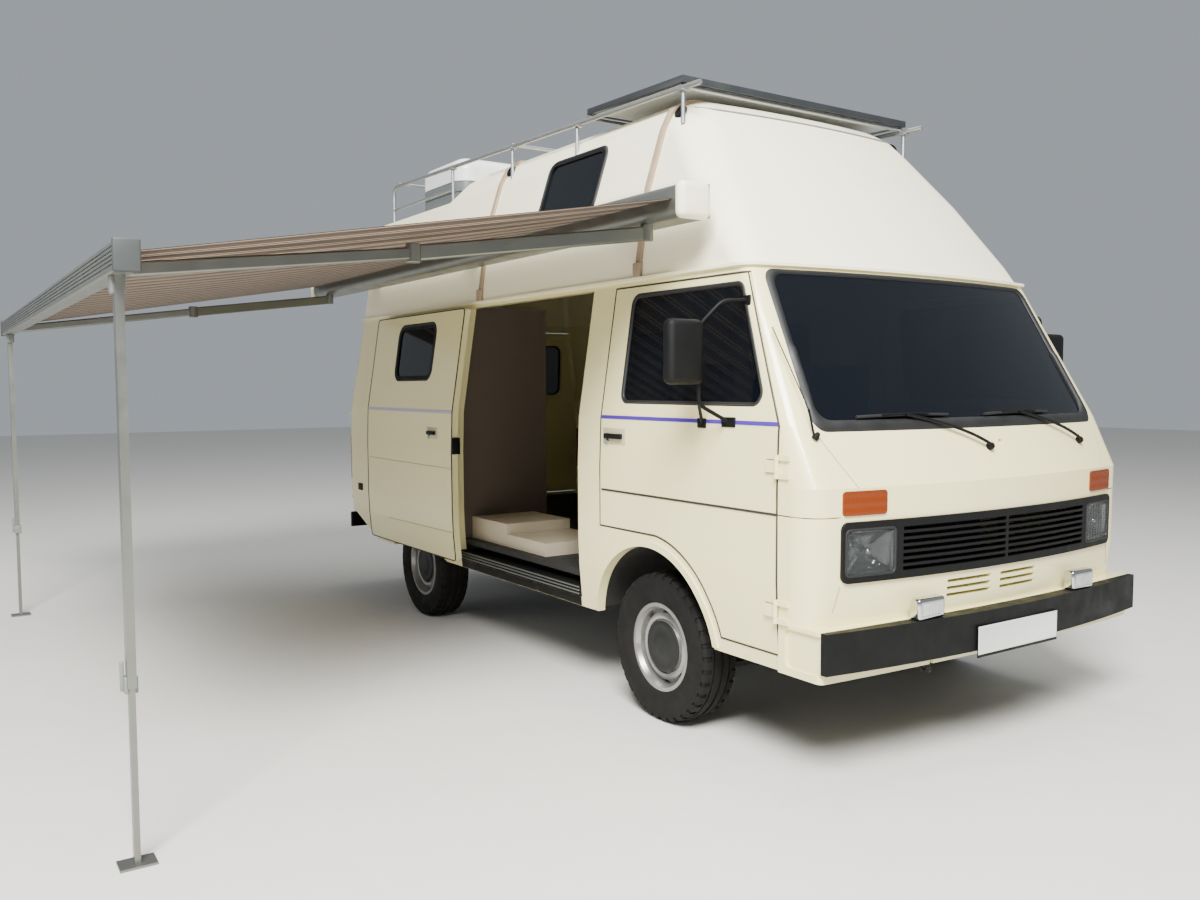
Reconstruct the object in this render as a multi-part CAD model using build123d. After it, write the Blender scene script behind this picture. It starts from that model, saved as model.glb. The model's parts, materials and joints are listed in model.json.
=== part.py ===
from build123d import *
import math
import os

os.makedirs("parts", exist_ok=True)

# Camper van, high-roofed, with its side awning out and its sliding door open.
# Millimetres. X runs across (plus is the driver's side), Y rearwards, Z up.
# While modelling, the origin is on the ground under the middle of the front axle.

# Driving dimensions of the body shell
wall = 40.0
seam = 6.0
body_bottom = 410.0
body_top = 1955.0
tail_y = 3719.0
tail_lean = 35.0
tail_corner = 85.0
belt_z = 1330.0

# Plan of the body at each height: height, half width, nose y, bow of the nose, nose corner radius
BODY_SECTIONS = [
    (body_bottom, 985.0, -1000.0, 100.0, 105.0),
    (620.0, 1004.0, -1032.0, 102.0, 110.0),
    (755.0, 1009.0, -1042.0, 102.0, 110.0),
    (1105.0, 1010.0, -1045.0, 102.0, 110.0),
    (belt_z, 1003.0, -938.0, 104.0, 85.0),
    (body_top, 907.0, -586.0, 92.0, 62.0),
]

# Plan of the high roof at each height: height, half width, nose y, bow, nose corner radius
roof_wall = 30.0
roof_rise = 830.0
ROOF_SECTIONS = [
    (body_top, 905.0, -584.0, 92.0, 110.0),
    (2050.0, 897.0, -520.0, 90.0, 130.0),
    (2370.0, 848.0, -262.0, 84.0, 160.0),
    (2640.0, 762.0, -20.0, 66.0, 170.0),
    (2735.0, 712.0, 72.0, 52.0, 160.0),
    (body_top + roof_rise, 636.0, 150.0, 40.0, 140.0),
]
roof_tail_lean = 60.0
roof_deck_z = 2640.0
roof_deck_y = 2470.0
roof_step_y = 2180.0
gutter_lip = 16.0
gutter_height = 12.0

# Wheels and axles
wheelbase = 2518.0
tyre_radius = 330.0
tyre_width = 200.0
rim_radius = 186.0
rim_width = 150.0
wheel_face_x = 982.0
arch_radius = 430.0
arch_shift = 26.0
arch_rise = 15.0
rear_arch_radius = 405.0
hub_radius = 62.0
stub_radius = 30.0
running_fit = 0.05
steer_angle = 32.0

# Front doors
door_front_y = -779.0
door_rear_y = 395.0
door_sill_z = 470.0
door_step_z = 832.0
door_top_z = 1925.0
door_top_front_y = -495.0
door_arch_radius = 490.0
hinge_x = 1017.0
hinge_y = -782.0
hinge_radius = 9.0
hinge_pin = 4.0
hinge_barrel = 46.0
hinge_gap = 1.0
hinge_relief = 2.5
HINGE_HEIGHTS = [640.0, 1180.0]

# Sliding door, which stands open beside the body
slide_front_y = 585.0
slide_rear_y = 1902.0
slide_sill_z = 455.0
slide_top_z = 1925.0
slide_back = 1225.0
slide_out = 78.0

# Rear doors
rear_frame_y = 3560.0
rear_door_half = 938.0
rear_door_bottom = 600.0
rear_door_top = 1900.0
rear_hinge_x = 950.0
rear_hinge_y = tail_y + 15.0
REAR_HINGE_HEIGHTS = [700.0, 1250.0]

# Glass
glass_inset = 8.0
glass_thick = 5.0

# Wheel-arch lips, door groove and the skirt behind the front bumper
arch_lip_width = 30.0
arch_lip_proud = 9.0
groove_z = 1000.0
groove_height = 5.0
groove_depth = 4.0
groove_rear_y = 380.0
groove_in_x = 868.0
skirt_half = 1003.0
skirt_nose_y = -1044.0
skirt_bow = 44.0
skirt_corner = 24.0
skirt_top = 598.0
skirt_wall = 30.0
skirt_shelf = 12.0
RECESS = (-1060.0, -820.0, 438.0, 583.0)
recess_depth = 12.0
recess_corner = 25.0

# Chassis and floor
rail_x = 400.0
rail_width = 64.0
rail_bottom = 425.0
rail_top = 545.0
floor_thick = 28.0
clear = 0.3
door_clear = 8.0

# Awning
awning_near_y = -330.0
awning_length = 4500.0
cassette_in_x = -960.0
cassette_depth = 150.0
cassette_bottom = 2150.0
cassette_height = 135.0
awning_reach_x = -3160.0
lead_height = 90.0
lead_depth = 70.0
lead_bottom = 1815.0
leg_inset = 165.0


def plan_wire(half, nose, bow, nose_radius, tail, tail_radius, z, inset):
    """Outline of the body in plan at height z, moved inwards by inset."""
    side = half - inset
    front = nose + inset
    back = tail - inset
    edges = [
        Line((side, front + bow), (side, back)),
        Line((side, back), (-side, back)),
        Line((-side, back), (-side, front + bow)),
        ThreePointArc((-side, front + bow), (0, front), (side, front + bow)),
    ]
    face = make_face(edges).face()
    nose_points = [v for v in face.vertices() if v.Y < 0.5 * (front + back)]
    face = face.fillet_2d(max(nose_radius - inset, 15.0), nose_points)
    tail_points = [v for v in face.vertices() if v.Y > back - 1.0]
    face = face.fillet_2d(max(tail_radius - inset, 15.0), tail_points)
    return Pos(0, 0, z) * face


def lofted(sections, tail_of, inset, drop_ends):
    """Ruled loft through the plans of a section table."""
    faces = []
    last = len(sections) - 1
    for index, (z, half, nose, bow, radius) in enumerate(sections):
        level = z
        if drop_ends and index == 0:
            level = z - drop_ends
        if drop_ends and index == last:
            level = z + drop_ends
        faces.append(plan_wire(half, nose, bow, radius, tail_of(z), tail_corner, level, inset))
    return loft(faces, ruled=True)


def body_tail(z):
    """Rear face of the body at height z."""
    return tail_y - tail_lean * max(0.0, z - belt_z) / (body_top - belt_z)


def roof_tail(z):
    """Rear face of the roof at height z."""
    return tail_y - tail_lean - roof_tail_lean * (z - body_top) / roof_rise


def body_solid(inset):
    """Solid inside the body's skin, moved inwards by inset, open past both ends when inset."""
    return lofted(BODY_SECTIONS, body_tail, inset, 12.0 if inset > 0 else 0.0)


def box(x0, x1, y0, y1, z0, z1):
    """Box between two corners."""
    return Pos((x0 + x1) / 2, (y0 + y1) / 2, (z0 + z1) / 2) * Box(x1 - x0, y1 - y0, z1 - z0)


def side_prism(points, radius, x0, x1):
    """Outline in Y and Z with rounded corners, run from x0 to x1."""
    wire = FilletPolyline(*points, radius=radius, close=True) if radius else Polyline(*points, close=True)
    return extrude(Plane.YZ.offset(x0) * make_face(wire), x1 - x0, dir=(1, 0, 0))


def front_prism(points, radius, y0, y1):
    """Outline in X and Z with rounded corners, run from y0 to y1."""
    wire = FilletPolyline(*points, radius=radius, close=True) if radius else Polyline(*points, close=True)
    return extrude(Plane.XZ.offset(-y0) * make_face(wire), y1 - y0, dir=(0, 1, 0))


def rectangle(u0, u1, v0, v1):
    """Corner points of a rectangle."""
    return [(u0, v0), (u1, v0), (u1, v1), (u0, v1)]


def cross_rod(radius, x0, x1, y, z):
    """Round bar along X."""
    return Pos((x0 + x1) / 2, y, z) * Rot(0, 90, 0) * Cylinder(radius, x1 - x0)


def rod(start, end, radius):
    """Round bar from start to end."""
    a = Vector(*start)
    b = Vector(*end)
    return Plane(origin=a, z_dir=b - a) * Cylinder(
        radius, (b - a).length, align=(Align.CENTER, Align.CENTER, Align.MIN)
    )


def both_sides(shape):
    """Shape and its mirror image across the middle plane."""
    return [shape, mirror(shape, about=Plane.YZ)]


nodes = {}


def add(name, shape):
    """Keep a node: one solid, or a list of solids that don't touch."""
    solids = []
    for item in shape if isinstance(shape, list) else [shape]:
        solids.extend(item.solids())
    nodes[name] = Compound(solids) if len(solids) > 1 else solids[0]


# Body shell, from which the panels are taken
outer = body_solid(0.0)
inner = body_solid(wall)
shell = outer - inner
arch_z = tyre_radius + arch_rise
front_arch = cross_rod(arch_radius, -1200, 1200, arch_shift, arch_z)
rear_arch = cross_rod(rear_arch_radius, -1200, 1200, wheelbase, arch_z)
shell = shell - front_arch - rear_arch
glass_layer = body_solid(glass_inset) - body_solid(glass_inset + glass_thick)


def door_outline(grow):
    """Outline of a front door in Y and Z, grown by a margin."""
    back = door_rear_y + grow
    front = door_front_y - grow
    step = door_step_z - grow
    radius = door_arch_radius - grow
    sill = door_sill_z - grow
    arch_foot = arch_shift - math.sqrt(radius ** 2 - (sill - arch_z) ** 2)
    rise = (arch_foot - arch_shift) / radius
    turn = math.acos(max(-1.0, rise))
    top_angle = math.asin((step - arch_z) / radius) if step - arch_z < radius else math.pi / 2
    mid = (turn + top_angle) / 2
    if top_angle < math.pi / 2:
        top_angle = math.pi - top_angle
        mid = (turn + top_angle) / 2
    arch_top = (arch_shift + radius * math.cos(top_angle), arch_z + radius * math.sin(top_angle))
    arch_mid = (arch_shift + radius * math.cos(mid), arch_z + radius * math.sin(mid))
    edges = [
        Line((back, step), (back, door_top_z + grow)),
        Line((back, door_top_z + grow), (door_top_front_y - grow, door_top_z + grow)),
        Line((door_top_front_y - grow, door_top_z + grow), (front, belt_z)),
        Line((front, belt_z), (front, sill)),
        Line((front, sill), (arch_foot, sill)),
        ThreePointArc((arch_foot, sill), arch_mid, arch_top),
        Line(arch_top, (back, step)),
    ]
    return make_face(edges)


def door_prism(grow):
    """Front door's outline run across the whole body."""
    return extrude(Plane.YZ.offset(-1200) * door_outline(grow), 2400, dir=(1, 0, 0))


door_side_x = 838.0
side_bands = box(door_side_x, 1300, -1300, 4000, 0, 2500) + box(-1300, -door_side_x, -1300, 4000, 0, 2500)
door_cut = door_prism(seam) & side_bands
door_body = door_prism(0.0) & side_bands
right_half = box(-1300, -500, -1300, 4000, 0, 2500)
left_half = box(500, 1300, -1300, 4000, 0, 2500)


def hinge_pair(x, y, heights, leaf, post):
    """Barrels on the leaf and the eyes with their pins on the post, about a vertical axis."""
    barrels = []
    eyes = []
    reliefs = []
    eye_length = 20.0
    for z in heights:
        barrel = Pos(x, y, z) * Cylinder(hinge_radius, hinge_barrel)
        barrel = barrel + (Pos(0, 0, z) * leaf)
        bore = Pos(x, y, z) * Cylinder(hinge_pin + running_fit, hinge_barrel + 100)
        swing = Pos(x, y, z) * Cylinder(hinge_radius + 2.0, hinge_barrel + 2 * hinge_gap)
        barrels.append(barrel - outer - bore)
        for sign in (1, -1):
            middle = z + sign * (hinge_barrel / 2 + hinge_gap + eye_length / 2)
            eye = Pos(x, y, middle) * Cylinder(hinge_radius, eye_length) + (Pos(0, 0, middle) * post)
            eyes.append(eye - outer - swing)
            reliefs.append(Pos(x, y, middle) * Cylinder(hinge_radius + hinge_relief, eye_length + 2 * hinge_gap))
        eyes.append(Pos(x, y, z) * Cylinder(hinge_pin, hinge_barrel + 2 * hinge_gap))
    return barrels, eyes, reliefs


# Front door windows
window_points = [(-690, 1404), (251, 1404), (251, 1884), (-479, 1884)]
front_window = side_prism(window_points, 45, -1200, 1200)
front_door_shell = (shell & door_body) - front_window
front_door_pane = glass_layer & front_window & door_body
door_leaf_plate = box(hinge_x - 20, hinge_x, hinge_y + 3.5, hinge_y + 60, -hinge_barrel / 2, hinge_barrel / 2)
door_post_plate = box(hinge_x - 20, hinge_x, hinge_y - 60, hinge_y, -10, 10)
door_barrels, door_eyes, door_reliefs = hinge_pair(
    hinge_x, hinge_y, HINGE_HEIGHTS, door_leaf_plate, door_post_plate
)
groove_layer = outer - body_solid(groove_depth)
groove_slab = box(-1300, 1300, -1300, groove_rear_y, groove_z - groove_height / 2, groove_z + groove_height / 2)
groove = groove_layer & (groove_slab - box(-groove_in_x, groove_in_x, -1300, 4000, 0, 2500))
front_door = (front_door_shell & left_half) - groove - door_reliefs
for barrel in door_barrels:
    front_door = front_door + barrel
add("front_door_left", front_door)
add("front_door_right", mirror(front_door, about=Plane.YZ))
add("door_glass_right", front_door_pane & right_half)
add("door_glass_left", front_door_pane & left_half)

# Front panel with the windscreen pillars
front_zone_points = [
    (-1300, 300),
    (door_front_y - seam, 300),
    (door_front_y - seam, belt_z),
    (door_top_front_y - seam, door_top_z + seam),
    (door_top_front_y - seam, body_top + 1),
    (-1300, body_top + 1),
]
front_zone = side_prism(front_zone_points, 0, -1200, 1200)
header_half = door_side_x - seam
front_zone = front_zone + box(-header_half, header_half, -1300, 0, 0, body_top + 1)
front_shell = shell & front_zone
screen_points = [(-885, belt_z + 8), (885, belt_z + 8), (822, 1928), (-822, 1928)]
screen_prism = front_prism(screen_points, 55, -1300, -300)
windscreen = glass_layer & screen_prism
front_shell = front_shell - screen_prism
front_shell = front_shell + [solid for eye in door_eyes for solid in both_sides(eye)]

# Grille panel with slats and lamp pockets
grille_half = 873.0
grille_bottom = 755.0
grille_top = 981.0
grille_proud = 10.0
grille_depth = 30.0
slat_count = 7
slat_gap = 15.0
slat_reach = 590.0
lamp_in = 628.0
lamp_out = 856.0
lamp_bottom = 782.0
lamp_top = 952.0
grille_prism = front_prism(rectangle(-grille_half, grille_half, grille_bottom, grille_top), 30, -1300, -700)
grille_layer = body_solid(-grille_proud) - body_solid(grille_depth)
grille = grille_layer & grille_prism
slat_pitch = (grille_top - grille_bottom - 50.0) / slat_count
grille_gaps = []
for index in range(slat_count):
    middle = grille_bottom + 25.0 + slat_pitch * (index + 0.5)
    for x0, x1 in ((-slat_reach, -8.0), (8.0, slat_reach)):
        grille_gaps.append(box(x0, x1, -1300, -800, middle - slat_gap / 2, middle + slat_gap / 2))
lamp_prism = front_prism(rectangle(lamp_in, lamp_out, lamp_bottom, lamp_top), 18, -1300, -700)
lamp_pockets = both_sides(lamp_prism)
add("grille", grille - (grille_gaps + lamp_pockets))
front_shell = front_shell - grille_prism - groove

lamp_layer = body_solid(-grille_proud + 3.0) - body_solid(grille_depth)
headlamps = [lamp_layer & pocket for pocket in lamp_pockets]

# Indicators at the ends of the band over the grille
signal_in = 668.0
signal_out = 868.0
signal_bottom = 1004.0
signal_top = 1094.0
signal_prism = front_prism(rectangle(signal_in, signal_out, signal_bottom, signal_top), 14, -1300, -700)
signal_layer = body_solid(-6.0) - body_solid(24.0)
signal_prisms = both_sides(signal_prism)
add("indicators", [signal_layer & prism for prism in signal_prisms])
front_shell = front_shell - signal_prisms

# Breather slots of the valance
SLOT_COLUMNS = [(-340.0, -80.0), (-20.0, 222.0)]
SLOT_ROWS = [662.0, 690.0, 718.0]
slot_height = 13.0
slot_corner = 3.0
slots = []
for x0, x1 in SLOT_COLUMNS:
    for z in SLOT_ROWS:
        outline = rectangle(x0, x1, z - slot_height / 2, z + slot_height / 2)
        slots.append(front_prism(outline, slot_corner, -1300, -700))
front_shell = front_shell - slots
add("windscreen", windscreen)

# Skirt that steps out under the valance, with a recess at each corner, and the bumper before it
skirt_plan = plan_wire(skirt_half, skirt_nose_y, skirt_bow, skirt_corner, tail_y, tail_corner, body_bottom, 0.0)
skirt_hollow_plan = plan_wire(
    skirt_half, skirt_nose_y, skirt_bow, skirt_corner, tail_y, tail_corner, body_bottom, skirt_wall
)
front_reach = box(-1300, 1300, -1300, door_front_y - seam, 0, 2500)
skirt = extrude(skirt_plan, skirt_top - body_bottom) & front_reach
skirt = skirt - extrude(skirt_hollow_plan, skirt_top - skirt_shelf - body_bottom) - outer
recess = side_prism(rectangle(*RECESS), recess_corner, skirt_half - recess_depth, 1300)
skirt = skirt - both_sides(recess)
front_shell = front_shell + skirt - both_sides(recess)
bumper_bottom = 448.0
bumper_top = 600.0
bumper_half = 1005.0
bumper_gap = 2.0
bumper_front_y = -1112.0
bumper_bow = 82.0
bumper_back_y = skirt_nose_y - bumper_gap
bumper_edges = [
    ThreePointArc(
        (-bumper_half, bumper_front_y + bumper_bow), (0, bumper_front_y), (bumper_half, bumper_front_y + bumper_bow)
    ),
    Line((bumper_half, bumper_front_y + bumper_bow), (bumper_half, bumper_back_y + skirt_bow)),
    ThreePointArc(
        (bumper_half, bumper_back_y + skirt_bow), (0, bumper_back_y), (-bumper_half, bumper_back_y + skirt_bow)
    ),
    Line((-bumper_half, bumper_back_y + skirt_bow), (-bumper_half, bumper_front_y + bumper_bow)),
]
bumper = extrude(Pos(0, 0, bumper_bottom) * make_face(bumper_edges), bumper_top - bumper_bottom)
behind_bumper = extrude(Pos(0, 0, bumper_bottom) * make_face([
    bumper_edges[2],
    Line((-bumper_half, bumper_back_y + skirt_bow), (-bumper_half, 0)),
    Line((-bumper_half, 0), (bumper_half, 0)),
    Line((bumper_half, 0), (bumper_half, bumper_back_y + skirt_bow)),
]), bumper_top - bumper_bottom)

# Chassis rails, cross members and the bumper's brackets
rail_front_y = -930.0
rail_rear_y = 3640.0
CROSS_MEMBERS = [-850.0, 700.0, 1500.0, 3100.0, 3600.0]
cross_depth = 80.0
rails = [
    box(side * rail_x - rail_width / 2, side * rail_x + rail_width / 2, rail_front_y, rail_rear_y, rail_bottom, rail_top)
    for side in (-1, 1)
]
cross_half = rail_x - rail_width / 2
cross_members = [
    box(-cross_half, cross_half, y - cross_depth / 2, y + cross_depth / 2, rail_bottom + 20, rail_top - 15)
    for y in CROSS_MEMBERS
]
add("cross_members", cross_members)
jack_y = 1200.0
jack_length = 100.0
jack_drop = 12.0
bracket_width = 50.0
frame_rails = []
for side, rail in zip((-1, 1), rails):
    low_x = side * rail_x - bracket_width / 2
    high_x = side * rail_x + bracket_width / 2
    bracket = box(low_x, high_x, -1200, rail_front_y + 1, 480, rail_top - 10)
    tongue = box(low_x - 3, high_x + 3, -1300, -700, 477, rail_top - 7)
    front_shell = front_shell - tongue
    pad = box(
        side * rail_x - rail_width / 2,
        side * rail_x + rail_width / 2,
        jack_y - jack_length / 2,
        jack_y + jack_length / 2,
        rail_bottom - jack_drop,
        rail_bottom,
    )
    frame_rails.append(rail + (bracket & behind_bumper) + pad)
add("front_panel", front_shell)

# Fixed side panels
side_zone = box(-1200, 1200, door_front_y - seam, slide_front_y, 0, door_top_z + seam)
side_zone = side_zone - box(-door_side_x, door_side_x, -1300, slide_front_y, 0, 2500)
front_lip = cross_rod(arch_radius + arch_lip_width, -1200, 1200, arch_shift, arch_z) - front_arch
rear_lip = cross_rod(rear_arch_radius + arch_lip_width, -1200, 1200, wheelbase, arch_z) - rear_arch
lip_layer = (body_solid(-arch_lip_proud) - outer) & box(-1300, 1300, -1300, 4000, body_bottom + 10, 1200)
front_lip = front_lip & lip_layer & side_zone - door_cut - front_zone
rear_lip = rear_lip & lip_layer
fender = (shell & side_zone) - door_cut - front_zone
fender = fender + front_lip
add("front_fenders", [fender & right_half, fender & left_half])
rail_zone = box(-1200, 1200, -900, rear_frame_y, door_top_z + seam, body_top + 1) - front_zone
cant_rails = shell & rail_zone
right_rail = cant_rails & right_half & box(-1300, 1300, -1300, slide_rear_y, 0, 2500)
tail_cut = side_prism([(2960, 300), (3900, 300), (3900, 570), (3600, 570)], 0, -1300, 1300)
sill = shell & box(-1300, 0, slide_front_y, slide_rear_y, 0, slide_sill_z)
quarter = (shell & box(-1300, 1300, slide_rear_y, rear_frame_y, 0, body_top + 1)) - tail_cut
rear_side_window = side_prism(rectangle(2230, 2960, 1480, 1860), 70, -1300, 1300)
quarter = quarter - rear_side_window
side_right = (quarter & right_half) + right_rail + sill + (rear_lip & right_half)
mid_window = side_prism(rectangle(945, 1505, 1515, 1861), 70, -1300, 1300)
side_left = shell & box(0, 1300, slide_front_y, slide_rear_y, 0, body_top + 1)
side_left = side_left - mid_window
left_rail = cant_rails & left_half & box(-1300, 1300, -1300, slide_front_y, 0, 2500)
add("side_left", (quarter & left_half) + side_left + left_rail + (rear_lip & left_half))
pane_mid = glass_layer & mid_window & left_half
pane_rear = glass_layer & rear_side_window
side_panes = [pane_mid, pane_rear & left_half, pane_rear & right_half]

# Sliding door: cut from the same skin, then stood open beside the body
slide_points = rectangle(slide_front_y + seam, slide_rear_y - seam, slide_sill_z + seam, slide_top_z)
slide_zone = side_prism(slide_points, 25, -1300, -500)
slide_shell = (shell & slide_zone) - mid_window
slide_glass = glass_layer & mid_window & right_half
open_place = Pos(-slide_out, slide_back, 0)
roller_gap = 0.3
track_proud = 20.0
track_low = 1186.0
track_height = 34.0
roller_y = 3060.0
roller_zone = box(-1300, -900, roller_y - 30, roller_y + 30, track_low, track_low + track_height)
roller = roller_zone - body_solid(-track_proud - roller_gap)
roller = roller & (open_place * body_solid(wall))
roller = roller + (roller_zone & (open_place * shell))
add("sliding_door", (open_place * slide_shell) + roller)
track_zone = box(-1300, -900, slide_rear_y + 10, slide_rear_y + slide_back + 60, track_low, track_low + track_height)
track = (body_solid(-track_proud) - outer) & track_zone
side_right = side_right + track
add("side_right", side_right)
side_panes.append(open_place * slide_glass)

# Rear frame and rear doors
rear_shell = (shell & box(-1300, 1300, rear_frame_y, 4000, 0, body_top + 1)) - tail_cut
rear_cut = front_prism(
    rectangle(-rear_door_half - seam, rear_door_half + seam, rear_door_bottom - seam, rear_door_top + seam),
    12,
    3640,
    3900,
)
rear_leaf_plate = box(rear_hinge_x - 70, rear_hinge_x - 3.5, tail_y - 5, rear_hinge_y, -hinge_barrel / 2, hinge_barrel / 2)
rear_post_plate = box(rear_hinge_x, rear_hinge_x + 36, tail_y - 40, rear_hinge_y, -10, 10)
rear_barrels, rear_eyes, rear_reliefs = hinge_pair(
    rear_hinge_x, rear_hinge_y, REAR_HINGE_HEIGHTS, rear_leaf_plate, rear_post_plate
)
rear_shell = rear_shell - rear_cut
rear_shell = rear_shell + [solid for eye in rear_eyes for solid in both_sides(eye)]
add("rear_frame", rear_shell)
rear_leaf = front_prism(rectangle(seam / 2, rear_door_half, rear_door_bottom, rear_door_top), 10, 3650, 3900)
rear_window = front_prism(rectangle(110, 800, 1400, 1800), 60, 3500, 3900)
rear_door = (shell & rear_leaf) - rear_window - rear_reliefs
rear_glass = glass_layer & rear_window & box(-1300, 1300, 3600, 3900, 0, 2500)
for barrel in rear_barrels:
    rear_door = rear_door + barrel
add("rear_door_left", rear_door)
add("rear_glass_left", rear_glass)
add("rear_door_right", mirror(rear_door, about=Plane.YZ))
add("rear_glass_right", mirror(rear_glass, about=Plane.YZ))

# Floor, with the wheel houses standing in it
house_wall = 6.0
house_in_x = 575.0
cabin = body_solid(wall + clear)
houses = []
floor = cabin & box(-1200, 1200, -1300, 3900, rail_top, rail_top + floor_thick)
for y, radius in ((arch_shift, arch_radius), (wheelbase, rear_arch_radius)):
    tub = cross_rod(radius + house_wall, house_in_x, 1200, y, arch_z)
    hollow = cross_rod(radius, house_in_x + house_wall, 1300, y, arch_z)
    tub = (tub - hollow) & cabin & box(0, 1300, -1300, 3900, body_bottom + 20, 1000)
    houses.extend(both_sides(tub))
    void = cross_rod(radius + house_wall + clear, house_in_x - clear, 1200, y, arch_z)
    for solid in both_sides(void):
        floor = floor - solid
for side in (-1, 1):
    strip = box(940, 1200, door_front_y - 20, door_rear_y + 20, 0, 1000)
    floor = floor - (strip if side > 0 else mirror(strip, about=Plane.YZ))
add("floor_pan", floor)
add("wheel_houses", houses)

# High roof, with its stepped rear deck and the gutter flange
roof_outer = lofted(ROOF_SECTIONS, roof_tail, 0.0, 0.0)
roof_inner_sections = [
    (z - (roof_wall if z > body_top + roof_rise - 1 else 0.0), half, nose, bow, radius)
    for z, half, nose, bow, radius in ROOF_SECTIONS
]
roof_inner_faces = [
    plan_wire(half, nose, bow, radius, roof_tail(z), tail_corner, z - (1 if z == body_top else 0), roof_wall)
    for z, half, nose, bow, radius in roof_inner_sections
]
roof_inner = loft(roof_inner_faces, ruled=True)
deck_points = [
    (roof_step_y, body_top + roof_rise + 5),
    (roof_deck_y, roof_deck_z),
    (4000, roof_deck_z),
    (4000, body_top + roof_rise + 5),
]
deck_cut = side_prism(deck_points, 0, -1300, 1300)
inner_deck_points = [(y, z - roof_wall) for y, z in deck_points]
inner_deck_points[0] = (roof_step_y - roof_wall, body_top + roof_rise + 5)
inner_deck_points[3] = (4000, body_top + roof_rise + 5)
inner_deck_points[1] = (roof_deck_y - 10, roof_deck_z - roof_wall)
roof = (roof_outer - deck_cut) - (roof_inner - side_prism(inner_deck_points, 0, -1300, 1300))
base = BODY_SECTIONS[-1]
lip_face = plan_wire(base[1], base[2], base[3], base[4], body_tail(body_top), tail_corner, body_top, -gutter_lip)
lip_hole = plan_wire(base[1], base[2], base[3], base[4], body_tail(body_top), tail_corner, body_top, wall - 8)
roof = roof + (extrude(lip_face, gutter_height) - extrude(lip_hole, gutter_height))
roof_window_prism = side_prism(rectangle(680, 1220, 2330, 2660), 60, 500, 1300)
roof_pane_inset = 2.0
roof_pane_thick = 6.0
roof_layer = lofted(ROOF_SECTIONS, roof_tail, roof_pane_inset, 0.0)
roof_layer = roof_layer - lofted(ROOF_SECTIONS, roof_tail, roof_pane_inset + roof_pane_thick, 0.0)
roof = roof - roof_window_prism
add("roof_shell", roof & mirror(roof, about=Plane.YZ))
side_panes.extend(both_sides(roof_layer & roof_window_prism))
add("side_windows", side_panes)



# Height and half width of a skin between its sections, for what is seated on it
def skin_at(sections, z):
    """Half width, nose y and bow of a section table at height z."""
    for low, high in zip(sections, sections[1:]):
        if low[0] <= z <= high[0]:
            share = (z - low[0]) / (high[0] - low[0])
            return [a + share * (b - a) for a, b in zip(low[1:4], high[1:4])]
    return list(sections[-1][1:4])


def nose_y(x, z):
    """Y of the body's nose at a place across and a height."""
    half, nose, bow = skin_at(BODY_SECTIONS, z)
    return nose + bow * (x / half) ** 2


# Fog lamps stand on the bumper
fog_width = 185.0
fog_height = 95.0
fog_depth = 50.0
fog_x = 500.0
fog_y = bumper_front_y + bumper_bow * (fog_x / bumper_half) ** 2 + 6.0
fog = box(fog_x - fog_width / 2, fog_x + fog_width / 2, fog_y, fog_y + fog_depth, bumper_top, bumper_top + fog_height)
fog = fillet(fog.edges().filter_by(Axis.Y), 16)
add("front_lamps", headlamps + both_sides(fog))

# Wheels: revolved about X, centred on the wheel's own plane
WHEEL_PLACES = [("front", 0.0), ("rear", wheelbase)]
tread_half = 82.0
shoulder_radius = tyre_radius - 8.0
wall_radius = 250.0
bead_half = 74.0
rim_edge = 80.0
flange = 9.0
tyre_outline = [
    Line((-bead_half, rim_radius), (bead_half, rim_radius)),
    Line((bead_half, rim_radius), (bead_half, rim_radius + flange)),
    Line((bead_half, rim_radius + flange), (rim_edge, rim_radius + flange)),
    ThreePointArc((rim_edge, rim_radius + flange), (tyre_width / 2, wall_radius), (tread_half + 6, shoulder_radius - 6)),
    Line((tread_half + 6, shoulder_radius - 6), (tread_half - 6, shoulder_radius + 2)),
    ThreePointArc((tread_half - 6, shoulder_radius + 2), (0, tyre_radius), (-tread_half + 6, shoulder_radius + 2)),
    Line((-tread_half + 6, shoulder_radius + 2), (-tread_half - 6, shoulder_radius - 6)),
    ThreePointArc((-tread_half - 6, shoulder_radius - 6), (-tyre_width / 2, wall_radius), (-rim_edge, rim_radius + flange)),
    Line((-rim_edge, rim_radius + flange), (-bead_half, rim_radius + flange)),
    Line((-bead_half, rim_radius + flange), (-bead_half, rim_radius)),
]
tyre = revolve(make_face(tyre_outline), Axis.X)
cap_radius = 118.0
disc_x = 34.0
rim_points = [
    (-bead_half, rim_radius),
    (bead_half, rim_radius),
    (bead_half, rim_radius + flange),
    (rim_edge, rim_radius + flange),
    (rim_edge, rim_radius - 8),
    (60, rim_radius - 18),
    (36, rim_radius - 22),
    (40, 158),
    (52, 146),
    (60, 134),
    (56, cap_radius + 4),
    (46, cap_radius + 1),
    (46, cap_radius),
    (58, cap_radius - 4),
    (60, 60),
    (56, 52),
    (62, 0),
    (disc_x, 0),
    (disc_x, stub_radius + running_fit),
    (-20, stub_radius + running_fit),
    (-20, hub_radius),
    (disc_x, hub_radius + 18),
    (46, 132),
    (28, 158),
    (30, rim_radius - 20),
    (-62, rim_radius - 20),
    (-rim_edge, rim_radius - 8),
    (-rim_edge, rim_radius + flange),
    (-bead_half, rim_radius + flange),
]
rim = revolve(make_face(Polyline(*rim_points, close=True)), Axis.X)
vent_count = 8
vent_radius = 156.0
vent_length = 44.0
vent_height = 15.0
vent_cut = extrude(Plane.YZ * SlotOverall(vent_length, vent_height), 200, both=True)
vents = [Rot(360.0 / vent_count * index, 0, 0) * Pos(0, 0, vent_radius) * vent_cut for index in range(vent_count)]
rim = rim - vents
wheel_x = wheel_face_x - tyre_width / 2
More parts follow.
